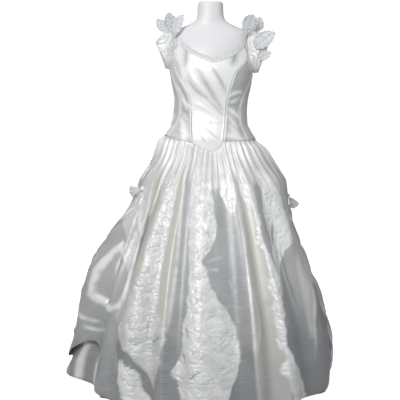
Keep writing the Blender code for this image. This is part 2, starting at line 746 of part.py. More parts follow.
def make_armholes():
    """Both bands and sleeves. Returns their inner surfaces and walls, for the petals."""
    carriers = {}
    for word, shape in SLEEVES.items():
        carriers[word, "band"] = (band_rows(shape["side"]), ORGANZA)
        carriers[word, "sleeve"] = (sleeve_rows(shape), SATIN)
        strip(f"armhole_band_{word}", carriers[word, "band"][0], ORGANZA, organza(), closed=True)
        strip(f"sleeve_{word}", carriers[word, "sleeve"][0], SATIN, satin(), closed=True)
    return carriers


def seat_on(carrier, row, column):
    """A seam's gap above a corner of a carrier's wall, and the way out from there."""
    rows, wall = carrier
    along = rows[row][(column + 1) % ARMHOLE_STEPS] - rows[row][column - 1]
    up = rows[min(row + 1, len(rows) - 1)][column] - rows[max(row - 1, 0)][column]
    out = along.cross(up).normalized()
    return rows[row][column] + out * (wall + SEAM_GAP), out


def petal_width(v, width):
    """Half width of a leaf: narrow where it is sewn, widest above the middle, pointed."""
    leaf = math.sin(math.pi * v ** PETAL_LEAF)
    return max(PETAL_TIP, width / 2 * leaf + PETAL_ROOT * (1 - v) ** 3)


def make_petals(carriers):
    counts = {"left": 0, "right": 0}
    for word, carrier, place, step, tip, width in PETALS:
        counts[word] += 1
        column = step if word == "right" else ARMHOLE_STEPS - step
        root, out = seat_on(carriers[word, carrier], place, column)
        run = Vector(tip) - root
        face = Vector((0.0, -1.0 if tip[1] < PETAL_FRONT else 1.0, 0.0))
        wide = run.cross(face).normalized()
        face = wide.cross(run).normalized()
        seated = (wide - out * wide.dot(out)).normalized()
        points = []
        for j in range(PETAL_ROWS + 1):
            v = j / PETAL_ROWS
            half = petal_width(v, width)
            centre = root + run * v + (out - run.normalized() * out.dot(run.normalized())) * (
                run.length * PETAL_BOW * math.sin(math.pi * v))
            centre += out * PETAL_LIFT * math.sin(math.pi * min(1.0, v / PETAL_LIFT_RUN))
            across_v = seated.lerp(wide, min(1.0, 2 * v)).normalized()
            row = []
            for i in range(PETAL_COLUMNS_ACROSS + 1):
                u = 2 * i / PETAL_COLUMNS_ACROSS - 1
                row.append(centre + across_v * half * u + face * PETAL_CUP * half * (u * u) * v)
            points.append(row)
        strip(f"petal_{word}_{counts[word]}", points, ORGANZA, organza())


def make_frills():
    """A narrow frill lapped on the outside of the top edge and standing above it."""
    for name, start, end, columns in FRILLS:
        points = []
        for rise, wave in FRILL_ROWS:
            row = []
            for i in range(columns + 1):
                deg = start + (end - start) * i / columns
                sway = FRILL_WAVE * wave * math.cos(math.pi * i)
                lift = LAP_LIFT + FRILL_WAVE * wave + sway
                row.append(torso_point(deg, top_edge(wrap(deg)) + rise, lift))
            points.append(row)
        strip(name, points, ORGANZA, organza())


def make_buttons():
    for k in range(BUTTONS):
        z = BUTTON_TOP - BUTTON_PITCH * k
        deg = 180.0 - math.degrees(BUTTON_OFFSET / torso_radius(180.0, z))
        seat = torso_point(deg, z, PANEL_LIFT + SATIN + SEAM_GAP)
        out = (torso_point(deg, z, LAP_LIFT + BUTTON_RADIUS) - seat).normalized()
        bm = bmesh.new()
        bmesh.ops.create_uvsphere(bm, u_segments=8, v_segments=5, radius=BUTTON_RADIUS)
        bmesh.ops.scale(bm, verts=bm.verts, vec=(1, 1, BUTTON_HEIGHT / BUTTON_RADIUS))
        bmesh.ops.rotate(bm, verts=bm.verts, matrix=out.to_track_quat("Z", "Y").to_matrix())
        made = add_object(f"button_{k + 1:02d}", bm, satin())
        made.location = seat + out * BUTTON_HEIGHT


def make_hip_fans():
    """A knot on the skirt at each side where it is picked up, and a pleated tab from it."""
    for word, fan in HIP_FANS.items():
        deg = fan["deg"]
        z = overskirt_height(deg, fan["row"])
        seat = skirt_point(deg, z)
        out = (seat - skirt_point(deg, z, KNOT_RADIUS)).normalized()
        bm = bmesh.new()
        bmesh.ops.create_uvsphere(bm, u_segments=10, v_segments=6, radius=KNOT_RADIUS)
        bmesh.ops.scale(bm, verts=bm.verts, vec=(1.0, 1.0, KNOT_DEPTH))
        bmesh.ops.rotate(bm, verts=bm.verts, matrix=out.to_track_quat("Z", "Y").to_matrix())
        knot = add_object(f"hip_knot_{word}", bm, satin())
        knot.location = seat + out * (KNOT_RADIUS * KNOT_DEPTH + SEAM_GAP)
        forward = Vector(fan["heading"])
        forward = (forward - out * forward.dot(out) * FAN_LIE).normalized()
        sideways = out.cross(forward).normalized()
        flat = forward.cross(sideways).normalized()
        steps = 2 * FAN_PLEATS
        points = []
        for j in range(FAN_ROWS + 1):
            along = j / FAN_ROWS
            reach = KNOT_RADIUS + SEAM_GAP + FAN_LENGTH * along
            row = []
            for i in range(steps + 1):
                spread = math.radians(FAN_SPREAD_DEG) * (2 * i / steps - 1)
                open_share = FAN_PLEAT_START + (1 - FAN_PLEAT_START) * along
                heave = FAN_PLEAT_HEIGHT * open_share * math.cos(math.pi * i)
                heave += FAN_ARCH * math.sin(math.pi * along)
                ray = forward * math.cos(spread) + sideways * math.sin(spread)
                row.append(knot.location + ray * reach + flat * heave)
            points.append(row)
        strip(f"hip_fan_{word}", points, SATIN, satin())


def make_stand():
    disc("stand_base", BASE_RADIUS, 0.0, BASE_HEIGHT, stand_steel(), BASE_EDGE)
    pole_low = BASE_HEIGHT + SEAM_GAP
    plate_low = FORM_BOTTOM - SEAM_GAP - PLATE_HEIGHT
    disc("stand_pole", POLE_RADIUS, pole_low, plate_low - SEAM_GAP, stand_steel())
    disc("stand_plate", PLATE_RADIUS, plate_low, FORM_BOTTOM - SEAM_GAP, stand_steel())
    bore = POLE_RADIUS + SEAM_GAP
    turned("stand_collar", (
        (bore, 0.0), (COLLAR_RADIUS, 0.0), (COLLAR_RADIUS, COLLAR_HEIGHT - COLLAR_BEVEL),
        (COLLAR_RADIUS - COLLAR_BEVEL, COLLAR_HEIGHT), (bore, COLLAR_HEIGHT)),
        stand_steel(), (0.0, 0.0, pole_low))


def clear_scene():
    for old in list(bpy.data.objects):
        bpy.data.objects.remove(old)


clear_scene()
make_stand()
make_form()
make_bodice()
make_overskirt()
make_underskirt()
make_petals(make_armholes())
make_frills()
make_buttons()
make_hip_fans()
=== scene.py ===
import math

import bmesh
import bpy
import numpy as np
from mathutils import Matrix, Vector


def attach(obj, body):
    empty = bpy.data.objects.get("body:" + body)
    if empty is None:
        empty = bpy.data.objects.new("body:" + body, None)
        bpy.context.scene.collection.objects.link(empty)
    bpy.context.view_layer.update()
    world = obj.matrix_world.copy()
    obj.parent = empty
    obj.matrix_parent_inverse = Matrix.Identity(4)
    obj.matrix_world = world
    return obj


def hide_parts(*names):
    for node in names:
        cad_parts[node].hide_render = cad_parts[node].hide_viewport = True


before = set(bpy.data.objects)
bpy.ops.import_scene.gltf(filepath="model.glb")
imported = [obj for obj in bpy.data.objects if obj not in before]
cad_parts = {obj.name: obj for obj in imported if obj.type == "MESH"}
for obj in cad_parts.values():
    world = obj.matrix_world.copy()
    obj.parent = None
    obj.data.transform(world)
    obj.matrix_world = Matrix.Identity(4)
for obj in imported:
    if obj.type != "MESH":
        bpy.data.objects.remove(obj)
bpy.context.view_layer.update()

print("frame loaded,", len(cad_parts), "solids")

# Walls and gaps of the cloth, in metres
cloth = {"satin": 0.0016, "organza": 0.0012, "gap": 0.0003, "lift": 0.0012, "allow": 0.0005}
cloth["lap"] = cloth["lift"] + cloth["satin"] + cloth["gap"] + cloth["allow"]
cloth["trim"] = cloth["lap"] + cloth["organza"] + cloth["gap"] + cloth["allow"]


def curve(rows, column=1):      # smooth through one column, flat beyond its ends
    xs = np.array([row[0] for row in rows], float)
    ys = np.array([row[column] for row in rows], float)
    steps = np.diff(ys) / np.diff(xs)
    slopes = np.zeros(len(xs))
    for i in range(1, len(xs) - 1):
        if steps[i - 1] * steps[i] > 0:
            slopes[i] = 2 * steps[i - 1] * steps[i] / (steps[i - 1] + steps[i])

    def read(x):
        x = np.clip(x, xs[0], xs[-1])
        i = np.clip(np.searchsorted(xs, x, side="right") - 1, 0, len(xs) - 2)
        span = xs[i + 1] - xs[i]
        t = (x - xs[i]) / span
        near = (1 + 2 * t) * (1 - t) ** 2 * ys[i] + t * (1 - t) ** 2 * span * slopes[i]
        far = t * t * (3 - 2 * t) * ys[i + 1] + t * t * (t - 1) * span * slopes[i + 1]
        return near + far

    return read


def straight(rows):
    return lambda x: np.interp(x, [row[0] for row in rows], [row[1] for row in rows])


def ease(t):
    t = np.clip(t, 0.0, 1.0)
    return t * t * (3 - 2 * t)


def hump(t):
    return np.where(np.abs(t) < 1, 0.5 + 0.5 * np.cos(np.pi * np.clip(t, -1, 1)), 0.0)


def ridge(t):       # a hump with a sharper crest
    return np.clip(1 - np.abs(t), 0, 1) ** 1.7


def wrap(deg):
    return (np.asarray(deg, float) + 180.0) % 360.0 - 180.0


def rings(rows, roundness):     # radius from tables of left, right, front and back
    left, right, front, back = (curve(rows, column) for column in (1, 2, 3, 4))

    def radius(deg, z):
        s = np.sin(np.radians(deg))
        c = np.cos(np.radians(deg))
        across = np.where(s > 0, right(z), left(z))
        along = np.where(c > 0, front(z), back(z))
        return ((np.abs(s) / across) ** roundness + (np.abs(c) / along) ** roundness) ** (-1 / roundness)

    return radius


def polar(deg, radius, z):
    angle = np.radians(deg)
    return np.stack([radius * np.sin(angle), -radius * np.cos(angle), z + 0 * angle], axis=-1)


def unit(v):
    return v / np.maximum(np.linalg.norm(v, axis=-1, keepdims=True), 1e-12)


def onSurface(radius, deg, z, lift, turn, step):     # moved out by lift, square to the surface
    def at(deg, z):
        return polar(deg, radius(deg, z), z)

    out = unit(np.cross(at(deg + turn, z) - at(deg - turn, z), at(deg, z + step) - at(deg, z - step)))
    point = at(deg, z)
    return point + out * np.expand_dims(lift + 0 * point[..., 0], -1)


def grid(rows, columns, first=0.0, last=1.0):       # rows run from 0 to 1, columns from first to last
    return np.meshgrid(np.linspace(0, 1, rows + 1), np.linspace(first, last, columns + 1), indexing="ij")


def search(holds, shape, near, far, rounds):        # the last value for which it holds, point by point
    near, far = np.full(shape, near), np.full(shape, far)
    for _ in range(rounds):
        middle = (near + far) / 2
        below = holds(middle)
        near, far = np.where(below, middle, near), np.where(below, far, middle)
    return near


def gridNormals(points, closed=False):      # outward, where columns run to the right and rows up
    if closed:
        wide = np.concatenate([points[:, -2:-1], points, points[:, 1:2]], axis=1)
        across = (wide[:, 2:] - wide[:, :-2])
    else:
        across = np.gradient(points, axis=1)
    return unit(np.cross(across, np.gradient(points, axis=0)))


def speckle(x, y, seed):        # smooth noise, about -1 to 1
    turns = np.random.default_rng(seed).uniform(0, 2 * np.pi, 4096)
    i0 = np.floor(x).astype(np.int64)
    j0 = np.floor(y).astype(np.int64)
    fx, fy = x - i0, y - j0

    def pull(di, dj):
        h = ((i0 + di) * 374761393 + (j0 + dj) * 668265263) & 0x7fffffff
        h = ((h ^ (h >> 13)) * 1274126177) & 0x7fffffff
        turn = turns[(h ^ (h >> 16)) & 4095]
        return np.cos(turn) * (fx - di) + np.sin(turn) * (fy - dj)

    sx = fx ** 3 * (fx * (6 * fx - 15) + 10)
    sy = fy ** 3 * (fy * (6 * fy - 15) + 10)
    low = pull(0, 0) * (1 - sx) + pull(1, 0) * sx
    high = pull(0, 1) * (1 - sx) + pull(1, 1) * sx
    return 1.5 * (low * (1 - sy) + high * sy)


def crumple(a, b, size, seed):      # crisp creases between soft hollows, about -1 to 1
    x = a / size + 0.7 * speckle(a / size * 0.6, b / size * 0.6, seed + 1)
    y = b / size + 0.7 * speckle(a / size * 0.6, b / size * 0.6, seed + 2)
    large = 1 - 2.2 * np.abs(speckle(x, y, seed))
    small = 1 - 2.2 * np.abs(speckle(2.3 * x, 2.3 * y, seed + 3))
    return 0.66 * large + 0.34 * small


def drawn(a, b, rows, scale):
    # lines drawn: angle and height of start, middle and end, then half width and depth
    total = np.zeros(np.shape(a))
    for *bends, halfWidth, depth in rows:
        p0, p1, p2 = np.reshape(bends, (3, 2)) * (scale, 1.0)
        line = [p0 * (1 - t) ** 2 + 2 * p1 * t * (1 - t) + p2 * t * t for t in np.linspace(0, 1, 11)]
        nearest = np.full(np.shape(a), 1e9)
        place = np.zeros(np.shape(a))
        for k, (q0, q1) in enumerate(zip(line, line[1:])):
            run = q1 - q0
            t = np.clip(((a - q0[0]) * run[0] + (b - q0[1]) * run[1]) / run.dot(run), 0, 1)
            far = np.hypot(a - q0[0] - run[0] * t, b - q0[1] - run[1] * t)
            closer = far < nearest
            nearest = np.where(closer, far, nearest)
            place = np.where(closer, (k + t) / (len(line) - 1), place)
        total += depth * ridge(nearest / halfWidth) * np.sin(np.pi * place) ** 0.6
    return total


def inScene(name, data):
    made = bpy.data.objects.new(name, data)
    bpy.context.scene.collection.objects.link(made)
    return made


def turnOut(bm, out, at):       # its z axis turned to point out, then moved
    bmesh.ops.rotate(bm, verts=bm.verts, matrix=Vector(out).to_track_quat("Z", "Y").to_matrix())
    bmesh.ops.translate(bm, verts=bm.verts, vec=Vector(at))


def fromBmesh(name, bm, finish):        # a smooth object, and the bmesh is freed
    mesh = bpy.data.meshes.new(name)
    bm.to_mesh(mesh)
    bm.free()
    mesh.materials.append(finish)
    mesh.shade_smooth()
    return inScene(name, mesh)


def makeCloth(name, points, finish, wall=0.0, outward=False, closed=False, uv=None, paint=None):
    # a grid moved onto its points; closed joins its last column to its first
    rows, columns = points.shape[:2]
    bm = bmesh.new()
    bm.loops.layers.uv.new("cut")
    bmesh.ops.create_grid(bm, x_segments=columns - 1, y_segments=rows - 1, size=1.0, calc_uvs=True)
    mesh = bpy.data.meshes.new(name)
    bm.to_mesh(mesh)
    bm.free()
    mesh.vertices.foreach_set("co", points.reshape(-1).astype(np.float32))
    if uv is not None:
        corners = np.empty(len(mesh.loops), np.int32)
        mesh.loops.foreach_get("vertex_index", corners)
        places = np.stack(uv, axis=-1).reshape(-1, 2)[corners]
        mesh.uv_layers["cut"].data.foreach_set("uv", places.reshape(-1).astype(np.float32))
    for word, values in (paint or {}).items():
        layer = mesh.attributes.new(word, "FLOAT", "POINT")
        layer.data.foreach_set("value", (np.zeros((rows, columns)) + values).reshape(-1).astype(np.float32))
    if closed:
        bm = bmesh.new()
        bm.from_mesh(mesh)
        bmesh.ops.remove_doubles(bm, verts=bm.verts, dist=1e-6)
        bm.to_mesh(mesh)
        bm.free()
    mesh.materials.append(finish)
    mesh.shade_smooth()
    made = inScene(name, mesh)
    if wall:
        shell = made.modifiers.new("wall", "SOLIDIFY")
        shell.thickness = wall
        shell.offset = 1.0 if outward else -1.0
    return made


def settle(piece, node):      # rides on the part, stands for its solid
    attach(piece, "root")
    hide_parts(node)


# Finishes
def nodeKit(name):
    made = bpy.data.materials.new(name)
    made.use_nodes = True
    tree = made.node_tree
    return made, tree, tree.nodes["Principled BSDF"]


def feed(tree, node, values):       # a socket is linked, anything else is set
    for key, value in values.items():
        if isinstance(value, bpy.types.NodeSocket):
            tree.links.new(value, node.inputs[key])
        else:
            node.inputs[key].default_value = value


def add(tree, kind, inputs=None, **settings):
    node = tree.nodes.new(kind)
    for key, value in settings.items():
        setattr(node, key, value)
    feed(tree, node, inputs or {})
    return node


def mixColour(tree, factor, first, second):
    return add(tree, "ShaderNodeMix", {0: factor, 6: first, 7: second}, data_type="RGBA").outputs[2]


def maths(tree, operation, *values, clamp=False):
    inputs = dict(enumerate(values))
    return add(tree, "ShaderNodeMath", inputs, operation=operation, use_clamp=clamp).outputs[0]


def swing(tree, value, middle, amount):     # how far a value is from its middle, times an amount
    return maths(tree, "MULTIPLY", maths(tree, "SUBTRACT", value, middle), amount)


def noise(tree, vector, scale, detail):
    return add(tree, "ShaderNodeTexNoise", {"Vector": vector, "Scale": scale, "Detail": detail}).outputs


def painted(tree, word):        # an attribute that makeCloth wrote
    return add(tree, "ShaderNodeAttribute", attribute_name=word).outputs["Fac"]


def between(tree, value, low, high):
    return add(tree, "ShaderNodeMapRange", {"Value": value, "To Min": low, "To Max": high}).outputs[0]


def bumps(tree, layers):      # height, strength, distance, one on top of the other
    below = {}
    for height, strength, distance in layers:
        node = add(tree, "ShaderNodeBump", {
            "Height": height, "Strength": strength, "Distance": distance, **below})
        below = {"Normal": node.outputs["Normal"]}
    return node.outputs["Normal"]


satinLook = {
    "cool": (0.93, 0.94, 0.95, 1.0), "ivory": (0.78, 0.77, 0.705, 1.0),
    # shade is the grey that painted shade mixes towards, scaled by shadeScale
    "shade": (0.26, 0.27, 0.28, 1.0), "shadeScale": 0.72,
    # facets of the crushed cloth, and how noise bends them; facetShade paints each facet its own shade, as light
    # falling on it would
    "facets": 34.0, "facetDepth": 0.005, "fineFacets": 96.0, "fineDepth": 0.0014, "facetShade": 0.3,
    "facetMiddle": 0.35, "facetStretch": (0.85, 0.85, 1.5), "bend": 0.05, "bendScale": 16.0,
    # slubs in the weave and clouds of grey
    "slub": (24.0, 420.0, 1.0), "slubDetail": 2.0, "slubBump": 0.5, "slubDepth": 0.0002, "slubGrey": 0.42,
    "cloudScale": 11.0, "cloudGrey": 0.3, "detail": 3.0, "leastShade": 0.15,
    "roughFlat": 0.42, "roughCrushed": 0.38, "metallic": 0.1, "sheen": 0.15, "sheenRoughness": 0.4,
    # the stitches of the hem
    "stitchWidth": 0.0022, "stitchPitch": 0.006, "stitchPause": 0.3, "stitchBump": 0.9,
    "stitchDepth": 0.0009, "stitchGrey": 0.35,
}


def makeSatin(name, hemLine=0.0):
    # attributes: crinkle is how crumpled it is, tone runs from cool 0 to ivory 1, shade is how grey, as painted shade
    # and painted sheen
    s = satinLook
    made, tree, shader = nodeKit(name)
    place = add(tree, "ShaderNodeTexCoord").outputs["Object"]
    cut = add(tree, "ShaderNodeUVMap", uv_map="cut").outputs["UV"]
    crinkle, tone, shade = (painted(tree, word) for word in ("crinkle", "tone", "shade"))
    drift = noise(tree, place, s["bendScale"], s["detail"])["Color"]
    bend = add(tree, "ShaderNodeVectorMath", {0: drift, 1: (s["bend"],) * 3}, operation="MULTIPLY")
    bent = add(tree, "ShaderNodeVectorMath", {0: place, 1: bend.outputs[0]}, operation="ADD").outputs[0]
    bent = add(tree, "ShaderNodeMapping", {"Vector": bent, "Scale": s["facetStretch"]}).outputs[0]
    cells, coarse, fine = (
        add(tree, "ShaderNodeTexVoronoi", {"Vector": bent, "Scale": s[scale]}, feature=feature).outputs
        for scale, feature in (("facets", "F1"), ("facets", "DISTANCE_TO_EDGE"),
                               ("fineFacets", "DISTANCE_TO_EDGE")))
    stretch = add(tree, "ShaderNodeMapping", {"Vector": cut, "Scale": s["slub"]}).outputs[0]
    slub = noise(tree, stretch, 1.0, s["slubDetail"])["Fac"]
    # painted shade and sheen, facet by facet
    facet = add(tree, "ShaderNodeSeparateColor", {"Color": cells["Color"]}).outputs[0]
    facet = maths(tree, "MULTIPLY", swing(tree, facet, s["facetMiddle"], crinkle), s["facetShade"])
    streak = swing(tree, slub, 0.5, s["slubGrey"])
    cloud = swing(tree, noise(tree, place, s["cloudScale"], s["detail"])["Fac"], 0.5, s["cloudGrey"])
    # painted shade and sheen: the shade attribute and each facet's painted shade, with slubs and clouds of grey
    greyness = maths(tree, "MULTIPLY", maths(tree, "ADD", streak, cloud),
                     maths(tree, "ADD", shade, s["leastShade"]))
    greyness = maths(tree, "ADD", maths(tree, "ADD", shade, greyness), facet)
    greyness = maths(tree, "MULTIPLY", greyness, s["shadeScale"], clamp=True)
    colour = mixColour(tree, greyness, mixColour(tree, tone, s["cool"], s["ivory"]), s["shade"])
    layers = [(slub, s["slubBump"], s["slubDepth"]), (fine["Distance"], crinkle, s["fineDepth"]),
              (coarse["Distance"], crinkle, s["facetDepth"])]
    if hemLine:
        # a row of stitches where the hem facing ends, in metres above the hem as the cut has them
        parts = add(tree, "ShaderNodeSeparateXYZ", {"Vector": cut}).outputs
        off = maths(tree, "ABSOLUTE", maths(tree, "SUBTRACT", parts["Y"], hemLine))
        line = maths(tree, "SUBTRACT", 1.0, maths(tree, "DIVIDE", off, s["stitchWidth"]), clamp=True)
        beat = maths(tree, "FRACT", maths(tree, "DIVIDE", parts["X"], s["stitchPitch"]))
        stitch = maths(tree, "MULTIPLY", line, maths(tree, "GREATER_THAN", beat, s["stitchPause"]))
        layers.insert(0, (maths(tree, "SUBTRACT", 1.0, stitch), s["stitchBump"], s["stitchDepth"]))
        colour = mixColour(tree, maths(tree, "MULTIPLY", stitch, s["stitchGrey"]), colour, s["shade"])
    feed(tree, shader, {
        "Base Color": colour, "Roughness": between(tree, crinkle, s["roughFlat"], s["roughCrushed"]),
        "Metallic": s["metallic"], "Sheen Weight": s["sheen"], "Sheen Roughness": s["sheenRoughness"],
        "Normal": bumps(tree, layers)})
    return made


organzaLook = {
    "leaf": {"colour": (0.76, 0.785, 0.81, 1.0), "sheer": 0.76},
    "trim": {"colour": (0.84, 0.855, 0.87, 1.0), "sheer": 0.55},
    "thread": (0.93, 0.94, 0.95, 1.0), "threadSheer": 0.24, "roughness": 0.5, "sheen": 0.3,
    "weave": 900.0, "weaveBump": 0.5, "weaveDepth": 0.00008, "threadBump": 0.6, "threadDepth": 0.0006,
}


def makeOrganza(name, weight):
    # the attribute thread marks hems, veins and stitched lines, which aren't sheer
    s = organzaLook
    made, tree, shader = nodeKit(name)
    cut = add(tree, "ShaderNodeUVMap", uv_map="cut").outputs["UV"]
    parts = add(tree, "ShaderNodeSeparateXYZ", {"Vector": cut}).outputs
    thread = painted(tree, "thread")
    warp, weft = (maths(tree, "SINE", maths(tree, "MULTIPLY", parts[axis], s["weave"] * 2 * math.pi))
                  for axis in ("X", "Y"))
    weave = maths(tree, "ADD", maths(tree, "MULTIPLY", maths(tree, "ADD", warp, weft), 0.25), 0.5)
    dense = maths(tree, "MULTIPLY", thread, s["threadSheer"])
    feed(tree, shader, {
        "Base Color": mixColour(tree, thread, s[weight]["colour"], s["thread"]),
        "Alpha": maths(tree, "ADD", dense, s[weight]["sheer"], clamp=True),
        "Roughness": s["roughness"], "Sheen Weight": s["sheen"],
        "Normal": bumps(tree, [(weave, s["weaveBump"], s["weaveDepth"]),
                               (thread, s["threadBump"], s["threadDepth"])])})
    return made


# noises are scale and detail, of the clouds and of the grain; bump is strength and distance
formLook = {
    "colours": ((0.725, 0.73, 0.75, 1.0), (0.755, 0.76, 0.77, 1.0)), "stretch": (1.0, 1.0, 1.0),
    "noises": ((14.0, 3.0), (700.0, 2.0)), "roughness": (0.42, 0.5), "bump": (0.15, 0.0001),
    "gloss": {"Coat Weight": 0.15, "Coat Roughness": 0.1},
}
steelLook = {
    "colours": ((0.48, 0.49, 0.51, 1.0), (0.62, 0.63, 0.65, 1.0)), "stretch": (60.0, 60.0, 900.0),
    "noises": ((1.0, 4.0), (1.0, 4.0)), "roughness": (0.25, 0.42), "bump": (0.2, 0.0001),
    "gloss": {"Metallic": 1.0},
}


def makeHard(name, look):
    made, tree, shader = nodeKit(name)
    place = add(tree, "ShaderNodeTexCoord").outputs["Object"]
    place = add(tree, "ShaderNodeMapping", {"Vector": place, "Scale": look["stretch"]}).outputs[0]
    cloud, grain = (noise(tree, place, *sizes)["Fac"] for sizes in look["noises"])
    feed(tree, shader, {
        "Base Color": mixColour(tree, cloud, *look["colours"]),
        "Roughness": between(tree, grain, *look["roughness"]),
        "Normal": bumps(tree, [(grain, *look["bump"])]), **look["gloss"]})
    return made


satinBodice = makeSatin("bodiceSatin")
satinSkirt = makeSatin("skirtSatin", hemLine=0.085)
leafOrganza = makeOrganza("leafOrganza", "leaf")
trimOrganza = makeOrganza("trimOrganza", "trim")
formShell = makeHard("formShell", formLook)
steel = makeHard("standSteel", steelLook)
print("finishes made")

# The torso: z, left, right, front, back
torso = {
    "rows": (
        (0.8, 0.15, 0.155, 0.105, 0.11), (0.88, 0.178, 0.182, 0.117, 0.123), (0.94, 0.19, 0.177, 0.122, 0.122),
        (0.975, 0.172, 0.158, 0.116, 0.112), (1.005, 0.153, 0.144, 0.108, 0.103), (1.05, 0.14, 0.141, 0.102, 0.096),
        (1.1, 0.136, 0.145, 0.106, 0.1), (1.145, 0.143, 0.155, 0.115, 0.108), (1.175, 0.149, 0.16, 0.119, 0.111),
        (1.205, 0.152, 0.161, 0.119, 0.112), (1.24, 0.151, 0.157, 0.112, 0.112), (1.29, 0.148, 0.151, 0.095, 0.106),
        (1.325, 0.149, 0.151, 0.08, 0.097), (1.35, 0.147, 0.149, 0.068, 0.086), (1.366, 0.14, 0.142, 0.059, 0.075),
        (1.377, 0.123, 0.124, 0.053, 0.067), (1.386, 0.101, 0.102, 0.05, 0.061), (1.395, 0.081, 0.081, 0.048, 0.058),
        (1.407, 0.063, 0.063, 0.048, 0.056), (1.425, 0.054, 0.054, 0.047, 0.055),
        (1.455, 0.0515, 0.0515, 0.046, 0.054), (1.48, 0.0515, 0.0515, 0.046, 0.054),
    ),
    "roundness": 2.2, "low": 0.800, "high": 1.480, "columns": 96, "rowCount": 84, "topEdge": 0.004,
    # how far the form stands back under the cloth: depth, from this height, in full below this one
    "reliefs": ((0.0046, 1.310, 1.255), (0.008, 1.000, 0.960)), "capInset": 0.006, "sharpFrom": 50,
    "turn": 0.5, "step": 0.002,     # how far apart its slopes are measured
}
torsoRadius = rings(torso["rows"], torso["roundness"])


def torsoPoint(deg, z, lift=0.0):
    return onSurface(torsoRadius, deg, z, lift, torso["turn"], torso["step"])


def makeFormBody():
    t = torso
    z, deg = np.meshgrid(np.linspace(t["low"], t["high"], t["rowCount"]),
                         np.linspace(0, 360, t["columns"] + 1), indexing="ij")
    relief = 0.0
    for depth, start, full in t["reliefs"]:
        relief = relief + depth * ease((start - z) / (start - full))
    radius = torsoRadius(deg, z) - relief
    radius -= t["topEdge"] * ease((z - t["high"] + t["topEdge"]) / t["topEdge"])
    points = polar(deg, radius, z)
    points[:, -1] = points[:, 0]
    made = makeCloth("formBody", points, formShell, closed=True)
    bm = bmesh.new()
    bm.from_mesh(made.data)
    rims = [e for e in bm.edges if e.is_boundary]
    bmesh.ops.holes_fill(bm, edges=rims, sides=0)
    bmesh.ops.recalc_face_normals(bm, faces=bm.faces)
    caps = [f for f in bm.faces if len(f.verts) > 4]
    bmesh.ops.inset_region(bm, faces=caps, thickness=t["capInset"])
    bm.to_mesh(made.data)
    bm.free()
    made.data.shade_smooth()
    made.data.set_sharp_from_angle(angle=math.radians(t["sharpFrom"]))
    settle(made, "dress_form")


makeFormBody()
print("form made")

